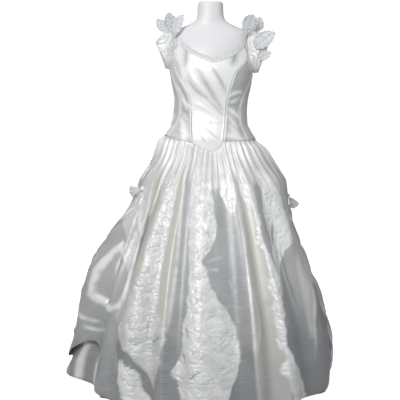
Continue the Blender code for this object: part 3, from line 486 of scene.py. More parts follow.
# The bodice: seams as height and angle, panels from one seam to the next
bodice = {
    "waistSeam": (
        (-180, 0.925), (-120, 0.955), (-90, 0.972), (-67.5, 0.956), (-52.5, 0.943), (-30, 0.93), (-15, 0.909),
        (3.75, 0.897), (15, 0.908), (22.5, 0.936), (60, 0.94), (90, 0.9445), (120, 0.938), (180, 0.925),
    ),
    "topEdge": (
        (-180, 1.245), (-150, 1.262), (-132, 1.3), (-118, 1.3), (-104, 1.232), (-90, 1.2), (-79, 1.228),
        (-70, 1.292), (-61, 1.308), (-41, 1.279), (-19, 1.256), (3.75, 1.24), (17, 1.245), (44, 1.267), (66, 1.298),
        (73, 1.29), (81, 1.228), (90, 1.2), (104, 1.232), (118, 1.3), (132, 1.3), (150, 1.262), (180, 1.245),
    ),
    "seams": {
        "frontLeft": ((0.930, -30.0), (1.017, -36.5), (1.112, -40.0), (1.207, -50.0), (1.292, -68.0)),
        "frontRight": ((0.936, 22.5), (1.017, 29.5), (1.093, 33.0), (1.188, 41.0), (1.270, 70.0)),
        "sideLeft": ((0.956, -67.5), (1.015, -62.0), (1.090, -60.0), (1.190, -73.0), (1.235, -79.0)),
        "sideRight": ((0.940, 60.0), (1.045, 58.0), (1.110, 64.0), (1.190, 76.0), (1.230, 81.0)),
        "backLeft": ((0.955, -120.0), (1.050, -128.0), (1.290, -124.0)),
        "backRight": ((0.938, 120.0), (1.050, 128.0), (1.290, 124.0)),
        "centreBackLeft": ((0.925, -180.0), (1.245, -180.0)),
        "centreBackRight": ((0.925, 180.0), (1.245, 180.0)),
    },
    # node, seams on its left and right, columns, flat width and height, cut area
    "panels": (
        ("bodice_centre_front", "frontLeft", "frontRight", 96, (0.26, 0.38), 0.060),
        ("bodice_side_front_left", "sideLeft", "frontLeft", 48, (0.12, 0.36), 0.021),
        ("bodice_side_front_right", "frontRight", "sideRight", 48, (0.12, 0.36), 0.024),
        ("bodice_side_left", "backLeft", "sideLeft", 56, (0.20, 0.36), 0.043),
        ("bodice_side_right", "sideRight", "backRight", 60, (0.20, 0.36), 0.048),
        ("bodice_back_left", "centreBackLeft", "backLeft", 54, (0.15, 0.36), 0.039),
        ("bodice_back_right", "backRight", "centreBackRight", 54, (0.15, 0.36), 0.040),
    ),
    # evenShare: how far its columns are spread evenly, the rest crowds beside the seams
    "rows": 110, "evenShare": 0.45, "searchTop": 1.350,
    "seamRoll": 0.0011, "seamRollAt": 0.0042, "seamRollWidth": 0.0038, "seamSink": 0.0007, "sinkWidth": 0.002,
    "crumple": 0.0006, "crumpleSize": 0.034, "arc": 0.0024, "topRoll": 0.0008, "topRollAt": 0.004,
    # distances over which the relief grows from the seams, the waist and the top
    "relief": (0.010, 0.05, 0.04), "crinkle": 0.03, "tone": 0.05, "rollHighlight": 0.9,
    # painted shade of each panel, the right side front darker as the light falls from the left; sideShade for the
    # panels not listed
    "panelShade": {"bodice_centre_front": 0.01, "bodice_side_front_left": 0.52, "bodice_side_front_right": 0.86,
                  "bodice_back_left": 0.22, "bodice_back_right": 0.28},
    "sideShade": 0.60, "strokeShade": 0.85,
    # soft bands of painted shade, bands of painted sheen and soft drag folds, as lines for drawn
    "shadeStrokes": (
        (-32, 1.235, -8, 1.15, 34, 1.03, 0.024, 1), (-1, 1.232, 14, 1.185, 32, 1.115, 0.018, 1),
        (-42, 1.19, -28, 1.115, -2, 1.1, 0.019, 1), (-12, 1.11, 10, 1.068, 30, 1.028, 0.01, 0.8),
        (-54, 1.305, -44, 1.275, -44, 1.215, 0.025, 1.1), (56, 1.305, 46, 1.262, 37, 1.218, 0.029, 1.3),
        (-30, 0.992, -16, 0.955, -6, 0.926, 0.006, 0.9), (-12, 0.996, 2, 0.965, 15, 0.943, 0.006, 0.9),
        (-26, 1.018, 0, 1, 24, 1.008, 0.006, 0.5), (-46, 1.072, -36, 1.02, -33, 0.935, 0.018, 0.7),
        (-60, 1.18, -50, 1.12, -42, 1.08, 0.008, 0.8), (-58, 1.075, -50, 1.04, -42, 1.05, 0.01, 0.6),
    ),
    "lightStrokes": (
        (-68, 1.235, -52, 1.165, -34, 1.105, 0.011, 2), (-58, 1.105, -46, 1.08, -33, 1.05, 0.01, 2),
        (-57, 1.03, -46, 0.99, -40, 0.92, 0.016, 2), (-64, 1.165, -58, 1.13, -50, 1.095, 0.007, 1.4),
        (35, 1.106, 46, 1.136, 62, 1.122, 0.014, 1.2), (36, 1.086, 46, 1.09, 58, 1.108, 0.013, 0.9),
        (33, 1.06, 44, 1.062, 58, 1.02, 0.02, 1.3), (26, 0.955, 40, 0.965, 56, 0.935, 0.03, 1.3),
        (34, 1.045, 42, 1.01, 52, 0.985, 0.026, 0.9), (34, 1, 40, 0.98, 50, 0.96, 0.026, 0.9),
    ),
    "drags": (
        (-24, 1.232, -1, 1.165, 36, 1.06, 0.016, 0.0032), (6, 1.232, 20, 1.195, 34, 1.14, 0.012, 0.0026),
        (-38, 1.205, -24, 1.14, 6, 1.1, 0.014, 0.0028), (-36, 1.085, -8, 1.072, 24, 1, 0.014, 0.0026),
        (-60, 1.235, -52, 1.16, -38, 1.09, 0.01, 0.0026), (-70, 1.17, -56, 1.09, -40, 1.03, 0.01, 0.0022),
        (32, 1.098, 44, 1.118, 58, 1.108, 0.011, 0.0032), (-24, 1.19, -2, 1.12, 14, 1.062, 0.006, 0.0014),
        (2, 1.214, 18, 1.17, 28, 1.12, 0.006, 0.0014), (-20, 1.1, 4, 1.06, 22, 1.03, 0.006, 0.0014),
        (-18, 0.985, 0, 0.965, 18, 0.952, 0.007, 0.002), (-8, 0.962, 4, 0.94, 16, 0.932, 0.006, 0.0016),
        (36, 1.076, 46, 1.086, 60, 1.08, 0.007, 0.002), (34, 1.02, 44, 1.03, 56, 1.012, 0.007, 0.0016),
        (-64, 1.05, -54, 1.03, -40, 1.01, 0.007, 0.0016), (-62, 0.99, -52, 0.975, -38, 0.965, 0.007, 0.0016),
        (-150, 1.12, -165, 1.08, -176, 1.01, 0.012, 0.0024), (150, 1.13, 164, 1.08, 176, 1.02, 0.012, 0.0024),
        (-100, 1.06, -112, 1.04, -122, 1.05, 0.009, 0.002), (100, 1.055, 112, 1.035, 122, 1.05, 0.009, 0.002),
    ),
}
waistSeam = straight(bodice["waistSeam"])
topEdge = straight(bodice["topEdge"])


def makePanel(node, leftName, rightName, columns, flat, area):
    b = bodice
    leftSeam = curve(b["seams"][leftName])
    rightSeam = curve(b["seams"][rightName])
    v, t = grid(b["rows"], columns)
    u = b["evenShare"] * t + (1 - b["evenShare"]) * (0.5 - 0.5 * np.cos(np.pi * t))

    def place(z):
        left, right = leftSeam(z), rightSeam(z)
        edgeGap = np.degrees(cloth["gap"] / 2 / torsoRadius((left + right) / 2, z))
        bare = left + (right - left) * u
        low = waistSeam(bare)
        return bare + edgeGap * (1 - 2 * u), low + (topEdge(bare) - low) * v

    deg, z = place(search(lambda z: place(z)[1] > z, u.shape, torso["low"], b["searchTop"], 34))
    width = torsoRadius(deg, z) * np.radians(rightSeam(z) - leftSeam(z))
    aside = np.minimum(u, 1 - u) * width
    roll = hump((aside - b["seamRollAt"]) / b["seamRollWidth"])
    rise = b["seamRoll"] * roll - b["seamSink"] * hump(aside / b["sinkWidth"])
    beside, above, under = b["relief"]
    inside = ease(aside / beside) * ease(v / above) * ease((1 - v) / under)
    arc = deg * b["arc"]
    rise += drawn(arc, z, b["drags"], b["arc"]) * inside
    rise += b["crumple"] * crumple(arc, z, b["crumpleSize"], 11) * inside
    top = (1 - v) * (topEdge(deg) - waistSeam(deg))
    rise += b["topRoll"] * hump((top - b["topRollAt"]) / b["topRollAt"])
    points = torsoPoint(deg, z, cloth["lift"] + cloth["satin"] + rise)
    shade = b["panelShade"].get(node, b["sideShade"])
    # painted shade and sheen bands, and a painted highlight along the seam rolls
    shade = shade + b["strokeShade"] * drawn(arc, z, b["shadeStrokes"], b["arc"])
    shade = shade * (1 - np.clip(drawn(arc, z, b["lightStrokes"], b["arc"]), 0, 1))
    shade = shade * (1 - b["rollHighlight"] * roll)
    made = makeCloth("cut_" + node, points, satinBodice, cloth["satin"], uv=(arc, z), paint={
        "crinkle": b["crinkle"], "tone": b["tone"], "shade": np.clip(shade, 0, 1)})
    settle(made, node)


for panel in bodice["panels"]:
    makePanel(*panel)
print("bodice made")

# The skirt: z, left, right, front, back of the overskirt's outside
skirt = {
    "rows": (
        (0.01, 0.562, 0.466, 0.46, 0.57), (0.068, 0.558, 0.472, 0.452, 0.548), (0.13, 0.546, 0.476, 0.441, 0.528),
        (0.193, 0.527, 0.469, 0.427, 0.508), (0.255, 0.516, 0.449, 0.41, 0.487), (0.318, 0.507, 0.431, 0.389, 0.463),
        (0.38, 0.49, 0.416, 0.368, 0.438), (0.443, 0.474, 0.388, 0.345, 0.411), (0.505, 0.436, 0.362, 0.322, 0.386),
        (0.568, 0.394, 0.338, 0.298, 0.36), (0.63, 0.352, 0.32, 0.271, 0.33), (0.693, 0.312, 0.306, 0.241, 0.297),
        (0.755, 0.285, 0.301, 0.21, 0.262), (0.787, 0.276, 0.296, 0.193, 0.24), (0.818, 0.258, 0.277, 0.176, 0.216),
        (0.849, 0.236, 0.257, 0.159, 0.19), (0.88, 0.22, 0.237, 0.143, 0.162), (0.912, 0.209, 0.213, 0.133, 0.142),
        (0.943, 0.197, 0.184, 0.128, 0.127), (0.975, 0.178, 0.165, 0.122, 0.118),
    ),
    "roundness": 2.1, "blend": 0.032, "turn": 1.0, "step": 0.004,
    # folds: angle at the hem and at the waist, half width on the left and on the right, depth, start
    "folds": (
        (-4.5, -8, 10, 10, 0.02, 0.04), (12, 12, 9, 8, -0.016, 0.06), (20, 25, 7, 8, 0.021, 0.05),
        (28, 32, 7.5, 7.5, -0.016, 0.05), (36, 40, 7.5, 8.5, 0.023, 0.05), (48, 52, 8, 8, -0.016, 0.08),
        (60, 66, 9, 9, 0.024, 0.08), (-15.5, -20, 7, 7, -0.016, 0.05), (-21, -30, 6, 6, 0.018, 0.04),
        (-28, -37, 7, 7, -0.014, 0.06), (-37, -45, 8, 8, 0.02, 0.06), (-47, -54, 7, 7, -0.012, 0.06),
        (-66, -63, 15, 15, -0.07, 0.22),
    ),
    # thin crests: angle at the hem and waist, half width
    "crests": ((19.5, 25.0, 2.2), (-20.5, -28.0, 2.2), (35.0, 37.0, 2.0), (-44.0, -56.0, 2.4)), "crest": 0.0045,
    "backFolds": 8, "backFrom": 108.0, "backCrest": 0.022, "backTrough": -0.018, "backWidth": 0.42,
    "backStart": 0.05, "fullDrop": 0.55, "lean": 0.7, "growth": 0.6,
    "gathers": 48, "gatherHeight": 0.0042, "gatherRise": 0.022, "gatherRun": 0.200,
    # small gathers between the large ones, and the painted sheen with lines of painted shade around both
    "small": 0.0016, "smallPitch": 2.5, "smallRise": 0.010, "smallFrom": 0.012, "smallRun": 0.090,
    "wander": 55.0, "whiteRun": 0.050, "moreRun": 0.090, "hollowShade": 0.75, "splitShade": 0.20,
    "gatherSheen": 0.95, "gatherTone": 0.18, "gatherSmooth": 0.7,
    "hem": (
        (-180, 0.01), (-132, 0.01), (-116, 0.048), (-100, 0.085), (-91, 0.1), (-80, 0.145), (-71, 0.188),
        (-66, 0.165), (-61, 0.092), (-55, 0.04), (-48, 0.016), (-42, 0.01), (48, 0.01), (57, 0.022), (66, 0.064),
        (78, 0.082), (90, 0.098), (102, 0.086), (118, 0.04), (132, 0.01), (180, 0.01),
    ),
    "columns": 290, "rowCount": 165, "crowding": 1.45, "arc": 0.0072,
    "cut": (1.90, 1.00), "areas": {"Front": 1.20, "Back": 1.40},
    # crumples: height, the share of it on flat cloth, squeeze, size and seed; then where they fade out
    "crumples": ((0.0024, 0.25, 0.8, 0.050, 21), (0.0008, 0.2, 1.0, 0.021, 31)),
    "sideRun": 1.5, "sideShare": 0.35, "freeRun": 0.16, "hemShare": 0.45, "hemRun": 0.03, "crestRun": 0.10,
    # painted shade, tone and crinkle where no patch is, and how far edges are soft, in degrees
    "base": (0.30, 0.30, 0.12), "softEdge": 1.8, "jaggedEdge": 1.2, "endRun": 0.03,
    # jagged edges: depth in degrees, size across and up, seed
    "jags": ((2.0, 0.060, 0.050, 71), (0.6, 0.055, 0.013, 72)),
    "strokeGain": 1.6, "strokeEven": 0.85, "strokeBroken": 0.9, "brokenSize": 0.030, "strokeCool": 0.8,
    "shadeAll": 0.09, "hemShade": 0.22, "deepen": 1.06, "hemShadeGain": 0.26, "hemShadeFrom": 0.55,
    # patches of painted sheen and painted shade, bright crushed, grey and ivory, flat ones first: shade, tone,
    # crinkle and rows of height, left edge and right edge
    "patches": (
        (0.85, 0, 0.02, ((0.76, 1, 9), (0.72, 3, 23), (0.6, 4, 22), (0.51, -6, 21.7), (0.41, 0, 21), (0.31, 9, 20.5),
            (0.2, 12, 19.5), (0.05, 7, 19.5), (0, 6, 20))),
        (0.34, 0.95, 0.02, ((0.8, 25, 30), (0.686, 25, 34.4), (0.56, 23, 34), (0.468, 22, 35), (0.377, 21, 34),
            (0.287, 20, 34), (0.198, 19.5, 34), (0.09, 20, 36), (0, 22, 38))),
        (0.8, 0.05, 0.05, ((0.78, 42, 48), (0.7, 39, 52), (0.646, 36, 44), (0.556, 35.5, 42), (0.463, 37.5, 39),
            (0.42, 37, 38.4))),
        (0.85, 0.05, 0.05,
            ((0.56, 60, 66), (0.5, 49, 62), (0.37, 37.5, 60), (0.25, 35.4, 56), (0.128, 35.4, 54), (0, 44, 52))),
        (0.5, 0.7, 0.05, ((0.56, 64, 70), (0.48, 58, 65), (0.38, 55.5, 60), (0.28, 54.5, 56.5), (0.22, 54, 55.5))),
        (0.42, 0.6, 0.1, ((0.16, 26, 36), (0.09, 24, 36), (0, 20, 38))),
        (0.96, 0.15, 0.2, ((0.4, 66, 78), (0.28, 58, 76), (0.16, 54.5, 72), (0.05, 51, 60), (0, 50, 57))),
        (0.62, 0.2, 0.2,
            ((0.92, 64, 80), (0.84, 66, 92), (0.7, 76, 104), (0.5, 78, 104), (0.3, 80, 104), (0, 76, 104))),
        (0.78, 0.05, 0.03, ((0.86, -31, -26), (0.74, -24.5, -19), (0.65, -23, -17), (0.52, -21.4, -15),
            (0.44, -21.2, -12.5), (0.33, -20.7, -13), (0.22, -22.6, -14), (0.13, -24, -16), (0.05, -26, -13),
            (0, -28, -13))),
        (0.3, 0.9, 0.02, ((0.84, -46, -32), (0.72, -35.5, -25), (0.62, -33, -23), (0.53, -32, -22),
            (0.44, -30.5, -21.5), (0.345, -28.5, -21.3), (0.29, -25.5, -21.2), (0.26, -23, -22.5))),
        (0.42, 1, 0.05, ((0.84, -62, -56), (0.715, -55.5, -44), (0.568, -48.5, -41), (0.462, -46.5, -38.5),
            (0.38, -46.5, -42), (0.3, -49, -45), (0.24, -60, -47))),
        (1.25, 0.55, 0.05, ((0.66, -51.5, -49.5), (0.568, -48.8, -46.2), (0.52, -47.2, -45.6), (0.47, -46.4, -45.4))),
        (0.7, 0.1, 0.1, ((0.92, -100, -66), (0.8, -100, -72), (0.66, -100, -78))),
        (0.74, 0.05, 0.04, ((0.66, -100, -80), (0.54, -100, -60), (0.44, -100, -48), (0.3, -100, -50),
            (0.16, -100, -40), (0, -100, -36))),
        (1.1, 0.05, 0.1, ((0.21, -46, -42), (0.17, -44, -36), (0.11, -36, -29), (0.05, -32, -25), (0, -30, -24))),
        (0.04, 0.05, 1, ((0.89, -22, 0), (0.82, -20.7, 0.5), (0.75, -18.6, 1.2), (0.686, -17, 2.2),
            (0.59, -15.4, 4.8), (0.5, -14.4, -5.5), (0.406, -11.3, 1.4), (0.314, -13.5, 10.1), (0.224, -13.9, 13),
            (0.134, -17.6, 13.2), (0.05, -13.5, 8.4), (0, -15, 7))),
        (0.02, 0, 0.8, ((0.86, 8, 20), (0.82, 8.5, 22), (0.75, 8.5, 23), (0.7, 13, 22), (0.67, 17, 21))),
        (0.02, 0, 0.8, ((0.84, 28, 40), (0.76, 28.5, 38), (0.7, 34, 37), (0.557, 33.9, 36), (0.463, 34.4, 38),
            (0.371, 33.4, 37.6), (0.279, 33.4, 36.2), (0.189, 33.2, 35.4), (0.12, 33.6, 42), (0.05, 36, 48),
            (0, 38, 50))),
        (-0.1, 0.05, 1, ((0.82, 52, 60), (0.748, 50, 63.5), (0.645, 43.7, 67), (0.556, 41.6, 60), (0.5, 40, 50),
            (0.431, 38, 40.5), (0.4, 38, 38.8))),
        (0.85, 0.05, 0.3, ((0.635, 51.2, 52.6), (0.6, 47.5, 50.5), (0.555, 43.6, 45.4))),
        (0.26, 0.05, 1, ((0.82, -50, -42), (0.73, -42.7, -34), (0.607, -41.5, -31), (0.493, -38.2, -31.5),
            (0.381, -42.8, -28.5), (0.306, -45.5, -24.7), (0.238, -46, -22.4), (0.191, -39.6, -22.3),
            (0.158, -31.7, -22.3), (0.11, -27, -23))),
        (0.06, 0.05, 1, ((0.16, -42, -38), (0.1, -41, -32), (0.04, -38, -27), (0, -37, -25))),
        (0.06, 0.1, 1, ((0.75, -80, -66), (0.7, -74, -60), (0.64, -66, -56), (0.6, -60, -53), (0.56, -60, -50),
            (0.53, -68, -48.5), (0.505, -62, -47.5), (0.49, -52, -47))),
        (0.03, 0, 0.6, ((0.47, 69, 74), (0.4, 66, 69), (0.33, 64, 66))),
        (0.85, 0.05, 0.03, ((0.8, 104, 110), (0.5, 102, 113), (0.2, 104, 112), (0, 104, 110))),
        (0.1, 0.6, 0.03, ((0.84, 128, 134), (0.45, 124, 134), (0, 122, 134))),
        (0.8, 0, 0.03, ((0.8, 137, 143), (0.4, 136, 146), (0, 135, 147))),
        (0.12, 0.55, 0.03, ((0.84, 163, 168), (0.6, 161, 169), (0.35, 164, 173), (0, 160, 170))),
        (0.82, 0, 0.03, ((0.8, 176, 183), (0.4, 176, 186), (0, 174, 188))),
        (0.12, 0.5, 0.03, ((0.84, -154, -149), (0.45, -157, -147), (0, -158, -146))),
        (0.8, 0, 0.03, ((0.8, -131, -126), (0.4, -134, -125), (0, -136, -124))),
        (0.2, 0.5, 0.03, ((0.84, -114, -108), (0.45, -116, -106), (0.1, -114, -106))),
        (0.05, 0.05, 1, ((0.84, 111, 120), (0.62, 113, 126), (0.42, 112, 121), (0.22, 112, 127), (0, 113, 124))),
        (0.05, 0.05, 1, ((0.84, 146, 158), (0.6, 148, 156), (0.36, 146, 161), (0.15, 149, 160), (0, 148, 158))),
        (0.05, 0.05, 1, ((0.84, -174, -162), (0.55, -172, -165), (0.3, -174, -159), (0, -170, -160))),
        (0.05, 0.05, 1,
            ((0.84, -146, -136), (0.6, -147, -137), (0.33, -144, -135), (0.12, -148, -136), (0, -145, -138))),
        (0.05, 0.05, 1, ((0.84, -106, -98), (0.62, -106, -92), (0.48, -106, -96), (0.3, -104, -99))),
    ),
    # lines for drawn: painted highlights on the left pouf and on light crests, short lines of painted shade at folds
    # in the crumpled cloth, and drapes around the two places where it is picked up
    "highlightStrokes": (
        (-66, 0.56, -77, 0.47, -74.5, 0.35, 0.026, 2), (-76, 0.375, -67, 0.3, -50, 0.335, 0.022, 2),
        (-51, 0.325, -46, 0.37, -47.5, 0.47, 0.02, 2), (-62, 0.54, -66, 0.48, -62, 0.42, 0.016, 1.4),
        (-84, 0.3, -76, 0.255, -68, 0.262, 0.012, 1.2), (-76, 0.24, -66, 0.215, -56, 0.25, 0.012, 1),
        (24.8, 0.86, 25, 0.64, 21.6, 0.5, 0.011, 1), (21.6, 0.52, 20.8, 0.4, 19.8, 0.18, 0.009, 0.9),
        (-30, 0.86, -23, 0.68, -21.4, 0.5, 0.011, 1), (-21.4, 0.52, -21, 0.4, -21, 0.26, 0.011, 0.9),
        (-62, 0.84, -52, 0.65, -46, 0.44, 0.012, 0.8), (-2, 0.5, 3, 0.52, 9, 0.515, 0.008, 0.4),
        (-3, 0.47, 1, 0.48, 6, 0.47, 0.01, 0.4), (11, 0.44, 12.5, 0.415, 13, 0.395, 0.007, 0.35),
        (8, 0.345, 13, 0.35, 18, 0.34, 0.007, 0.3),
    ),
    "creaseShade": (
        (-12.5, 0.285, -11.3, 0.262, -11, 0.24, 0.006, 0.8), (-13.5, 0.195, -12.6, 0.175, -11.6, 0.16, 0.006, 0.8),
        (-10.6, 0.1, -8, 0.118, -4.5, 0.138, 0.006, 0.8), (-40.5, 0.19, -38, 0.185, -35.5, 0.165, 0.015, 0.7),
        (-33, 0.3, -31, 0.27, -32, 0.235, 0.007, 0.5), (-29, 0.215, -26.5, 0.235, -23.5, 0.25, 0.006, 0.7),
        (2, 0.25, 5, 0.235, 8, 0.24, 0.006, 0.4), (-4, 0.62, -1.5, 0.6, 0.5, 0.57, 0.007, 0.5),
        (-12.5, 0.52, -11, 0.49, -10.5, 0.455, 0.007, 0.4),
    ),
    "drapes": (
        (-66, 0.56, -60, 0.4, -68, 0.2, 0.022, -0.016), (-58, 0.6, -50, 0.42, -62, 0.23, 0.02, 0.012),
        (-66, 0.56, -77, 0.47, -74.5, 0.35, 0.026, 0.012), (-76, 0.375, -67, 0.3, -50, 0.335, 0.024, 0.012),
        (-51, 0.325, -46, 0.37, -47.5, 0.47, 0.022, 0.01), (-70, 0.25, -84, 0.17, -104, 0.23, 0.026, 0.006),
        (-68, 0.7, -92, 0.52, -122, 0.52, 0.024, 0.008), (-68, 0.68, -96, 0.38, -130, 0.42, 0.028, 0.01),
        (-78, 0.42, -100, 0.25, -132, 0.29, 0.028, 0.008), (-68, 0.69, -78, 0.62, -92, 0.6, 0.018, 0.004),
        (-68, 0.73, -60, 0.64, -46, 0.56, 0.018, 0.008), (-67, 0.76, -64, 0.56, -58, 0.42, 0.016, 0.008),
        (97, 0.66, 92, 0.52, 78, 0.42, 0.022, 0.01), (97, 0.64, 108, 0.5, 122, 0.44, 0.022, 0.01),
        (96, 0.7, 82, 0.64, 66, 0.62, 0.018, 0.008), (90, 0.42, 80, 0.25, 62, 0.2, 0.026, 0.012),
        (90, 0.32, 76, 0.15, 58, 0.12, 0.022, 0.01), (92, 0.3, 110, 0.18, 126, 0.2, 0.024, 0.01),
        (22, 0.42, 28, 0.3, 20, 0.18, 0.016, 0.006), (-30, 0.5, -24, 0.38, -30, 0.24, 0.018, 0.006),
        (52, 0.56, 46, 0.44, 52, 0.3, 0.018, 0.007),
    ),
}
skirtRadius = rings(skirt["rows"], skirt["roundness"])
overHem = curve(skirt["hem"])


def foldTable():
    s = skirt
    rows = list(s["folds"])
    span = (360.0 - 2 * s["backFrom"]) / (s["backFolds"] - 1)
    half = span * s["backWidth"]
    for k in range(s["backFolds"]):
        deg = s["backFrom"] + span * k
        rows.append((deg, deg, half, half, s["backCrest"], s["backStart"]))
        if k < s["backFolds"] - 1:
            rows.append((deg + span / 2, deg + span / 2, half, half, s["backTrough"], s["backStart"]))
    return rows


foldRows = foldTable()


def leaning(hemDeg, waistDeg, z, drop):     # where a fold or a band has got to at a height
    down = np.clip(drop / (drop + z), 0, 1)
    return waistDeg + (hemDeg - waistDeg) * down ** skirt["lean"]


def band(deg, z, drop, rows):       # 1 in the middle of the named bands, 0 outside
    total = np.zeros(np.shape(deg))
    for hemDeg, waistDeg, half in rows:
        total = np.maximum(total, ridge(wrap(deg - leaning(hemDeg, waistDeg, z, drop)) / half))
    return total


def patchShare(deg, z, rows, soft):     # 1 inside a patch drawn by its left and right edges
    rows = sorted(rows)
    heights, lefts, rights = ([row[k] for row in rows] for k in range(3))
    left = np.interp(z, heights, lefts)
    right = np.interp(z, heights, rights)
    inside = ease(((right - left) / 2 - np.abs(wrap(deg - (left + right) / 2))) / soft + 0.5)
    run = skirt["endRun"]
    low = ease((z - heights[0]) / run + 0.5) if heights[0] > 0.005 else 1.0
    return inside * low * ease((heights[-1] - z) / run + 0.5)


def paintSkirt(deg, z, drop, arc):      # how grey, how ivory and how crumpled each point is
    s = skirt
    # shade is painted shade and painted sheen: the patches, highlights, crease shade, hem shade and the gathers'
    # paint
    shade, tone, crinkle = (np.full(deg.shape, level) for level in s["base"])
    jag = sum(depth * speckle(arc / across, z / high, seed) for depth, across, high, seed in s["jags"])
    for toShade, toTone, toCrinkle, rows in s["patches"]:
        jagged = toCrinkle > 0.5
        inside = patchShare(deg + jag * jagged, z, rows, s["jaggedEdge" if jagged else "softEdge"])
        shade += (toShade - shade) * inside
        tone += (toTone - tone) * inside
        crinkle += (toCrinkle - crinkle) * inside
    # painted highlights, broken up and cooler
    for *line, share in s["highlightStrokes"]:
        lit = drawn(arc, z, ((*line, s["strokeGain"] * share),), s["arc"])
        broken = speckle(arc / s["brokenSize"], z / s["brokenSize"], 75)
        lit = np.clip(lit * (s["strokeEven"] + s["strokeBroken"] * broken), 0, 1)
        shade *= 1 - lit
        tone *= 1 - s["strokeCool"] * lit
    # short lines of painted shade
    for crease in s["creaseShade"]:
        shade += np.clip(drawn(arc, z, (crease,), s["arc"]), 0, 1)
    # painted shade: greyer towards the hem, where the light falls off, and a little greyer all over
    low = ease((s["hemShadeFrom"] - z) / s["hemShadeFrom"])
    shade = shade * (s["deepen"] + s["hemShadeGain"] * low) + s["shadeAll"] + s["hemShade"] * low
    # painted sheen and shade: the gathers are painted white, with painted shade only in their hollows
    wander = s["wander"] * speckle(deg / 11.0, drop / 0.08, 74)
    hollow = (0.5 - 0.5 * np.cos(np.radians(s["gathers"] * deg + wander))) ** 3
    split = (0.5 - 0.5 * np.cos(np.radians(2.0 * s["gathers"] * deg + 2 * wander))) ** 4
    uneven = np.clip(0.65 + 0.9 * speckle(deg / 5.0, 0 * deg, 73), 0, 1)
    run = s["whiteRun"] + s["moreRun"] * uneven
    grown = 1 - ease((drop - 0.3 * run) / run)
    lines = np.clip(s["hollowShade"] * hollow * uneven + s["splitShade"] * split, 0, 1)
    shade = shade * (1 - s["gatherSheen"] * grown) + lines * grown
    tone = tone * (1 - grown) + s["gatherTone"] * grown
    return np.maximum(shade, 0), tone, crinkle * (1 - s["gatherSmooth"] * grown)


def skirtOutline(deg, z, gathered=True):
    s = skirt
    seam = waistSeam(wrap(deg))
    drop = np.maximum(0.0, seam - z)
    top = np.linalg.norm(torsoPoint(deg, seam, cloth["lift"] + cloth["satin"])[..., :2], axis=-1)
    blend = 1 - (1 - np.minimum(1.0, drop / s["blend"])) ** 2
    radius = top + (np.maximum(skirtRadius(deg, z), top) - top) * blend
    for hemDeg, waistDeg, left, right, depth, start in foldRows:
        off = wrap(deg - leaning(hemDeg, waistDeg, z, drop))
        grown = ease((drop - start) / s["fullDrop"]) ** s["growth"]
        radius = radius + depth * grown * hump(off / np.where(off < 0, left, right))
    if gathered:
        grown = ease(drop / s["gatherRise"]) * (1 - ease((drop - s["gatherRise"]) / s["gatherRun"]))
        radius = radius + s["gatherHeight"] * grown * np.cos(np.radians(s["gathers"] * deg))
    return radius


def skirtPoint(deg, z, inset=0.0, gathered=True):
    def outline(deg, z):
        return skirtOutline(deg, z, gathered)

    return onSurface(outline, deg, z, -inset, skirt["turn"], skirt["step"])


def halfGrid(first, s):     # how far down the skirt and at which angle, for the front or the back half
    share, deg = grid(s["rowCount"], s["columns"], first, first + 180)
    return (1 - share) ** s["crowding"], deg


def openSides(points, deg, first):      # half the seam's gap at each side seam
    start = (deg == first) * 1.0 - (deg == first + 180) * 1.0
    return points + polar(deg + 90, start * cloth["gap"] / 2, 0 * deg)


def makeOverskirt(word, first):
    s = skirt
    down, deg = halfGrid(first, s)
    whole = wrap(deg)
    seam = waistSeam(whole) - cloth["gap"]
    hem = overHem(whole)
    z = seam + (hem - seam) * down
    drop = waistSeam(whole) - z
    points = skirtPoint(deg, z)
    out = gridNormals(points)
    arc = whole * s["arc"]
    shade, tone, crushed = paintSkirt(whole, z, drop, arc)
    sides = ease(np.minimum(deg - first, first + 180 - deg) / s["sideRun"])
    rise = sum(height * (least + (1 - least) * crushed) * crumple(arc, z * squeeze, size, seed)
               for height, least, squeeze, size, seed in s["crumples"])
    rise = rise * ease(drop / s["freeRun"]) * (s["sideShare"] + (1 - s["sideShare"]) * sides)
    rise = rise * (s["hemShare"] + (1 - s["hemShare"]) * ease((z - hem) / s["hemRun"]))
    rise += drawn(arc, z, s["drapes"], s["arc"]) * sides
    # small cartridge gathers of uneven depth between the large ones
    uneven = 0.5 + 0.5 * speckle(deg / 9.0, 0 * deg, 41)
    turn = np.radians(s["smallPitch"] * s["gathers"] * deg) + 3 * speckle(deg / 14.0, 0 * deg, 42)
    grown = ease(drop / s["smallRise"]) * (1 - ease((drop - s["smallFrom"]) / s["smallRun"]))
    rise += s["small"] * uneven * np.cos(turn) * grown
    rise += s["crest"] * band(deg, z, drop, s["crests"]) * ease(drop / s["crestRun"]) * sides
    points = openSides(points + out * rise[..., None], deg, first)
    made = makeCloth("overskirt" + word, points, satinSkirt, cloth["satin"],
                     uv=(arc, z - hem), paint={"crinkle": crushed, "tone": tone, "shade": shade})
    settle(made, "overskirt_" + word.lower())


underskirt = {
    "columns": 200, "rowCount": 110, "crowding": 1.5, "hem": 0.010, "inset": 0.016,
    "insetRun": 0.045, "topDrop": 0.004, "waves": 16, "waveHeight": 0.004, "waveRun": 0.5,
    "showsFrom": 0.030, "showsRun": 0.050, "showsClear": 0.012, "outShare": 0.9,
    "crumple": 0.0016, "crumpleSize": 0.038, "squeeze": 0.8, "hemClear": 0.004, "hemRun": 0.02,
    # grey is painted shade on the underskirt under the overskirt; lit is painted highlight stripes, as rows of
    # height, left edge and right edge
    "grey": 1.30, "crinkle": 0.15, "litCrinkle": 0.3, "tone": 0.15, "litShare": 0.8, "litSoft": 2.5,
    "lit": (((0.30, -76, -72.5), (0.0, -75.5, -72)), ((0.30, -66, -60), (0.0, -66.5, -61))),
    "hemRise": 0.036, "riseAt": -80.0, "riseRun": 30.0,
    "cut": (1.80, 0.95), "areas": {"Front": 1.10, "Back": 1.20},
}


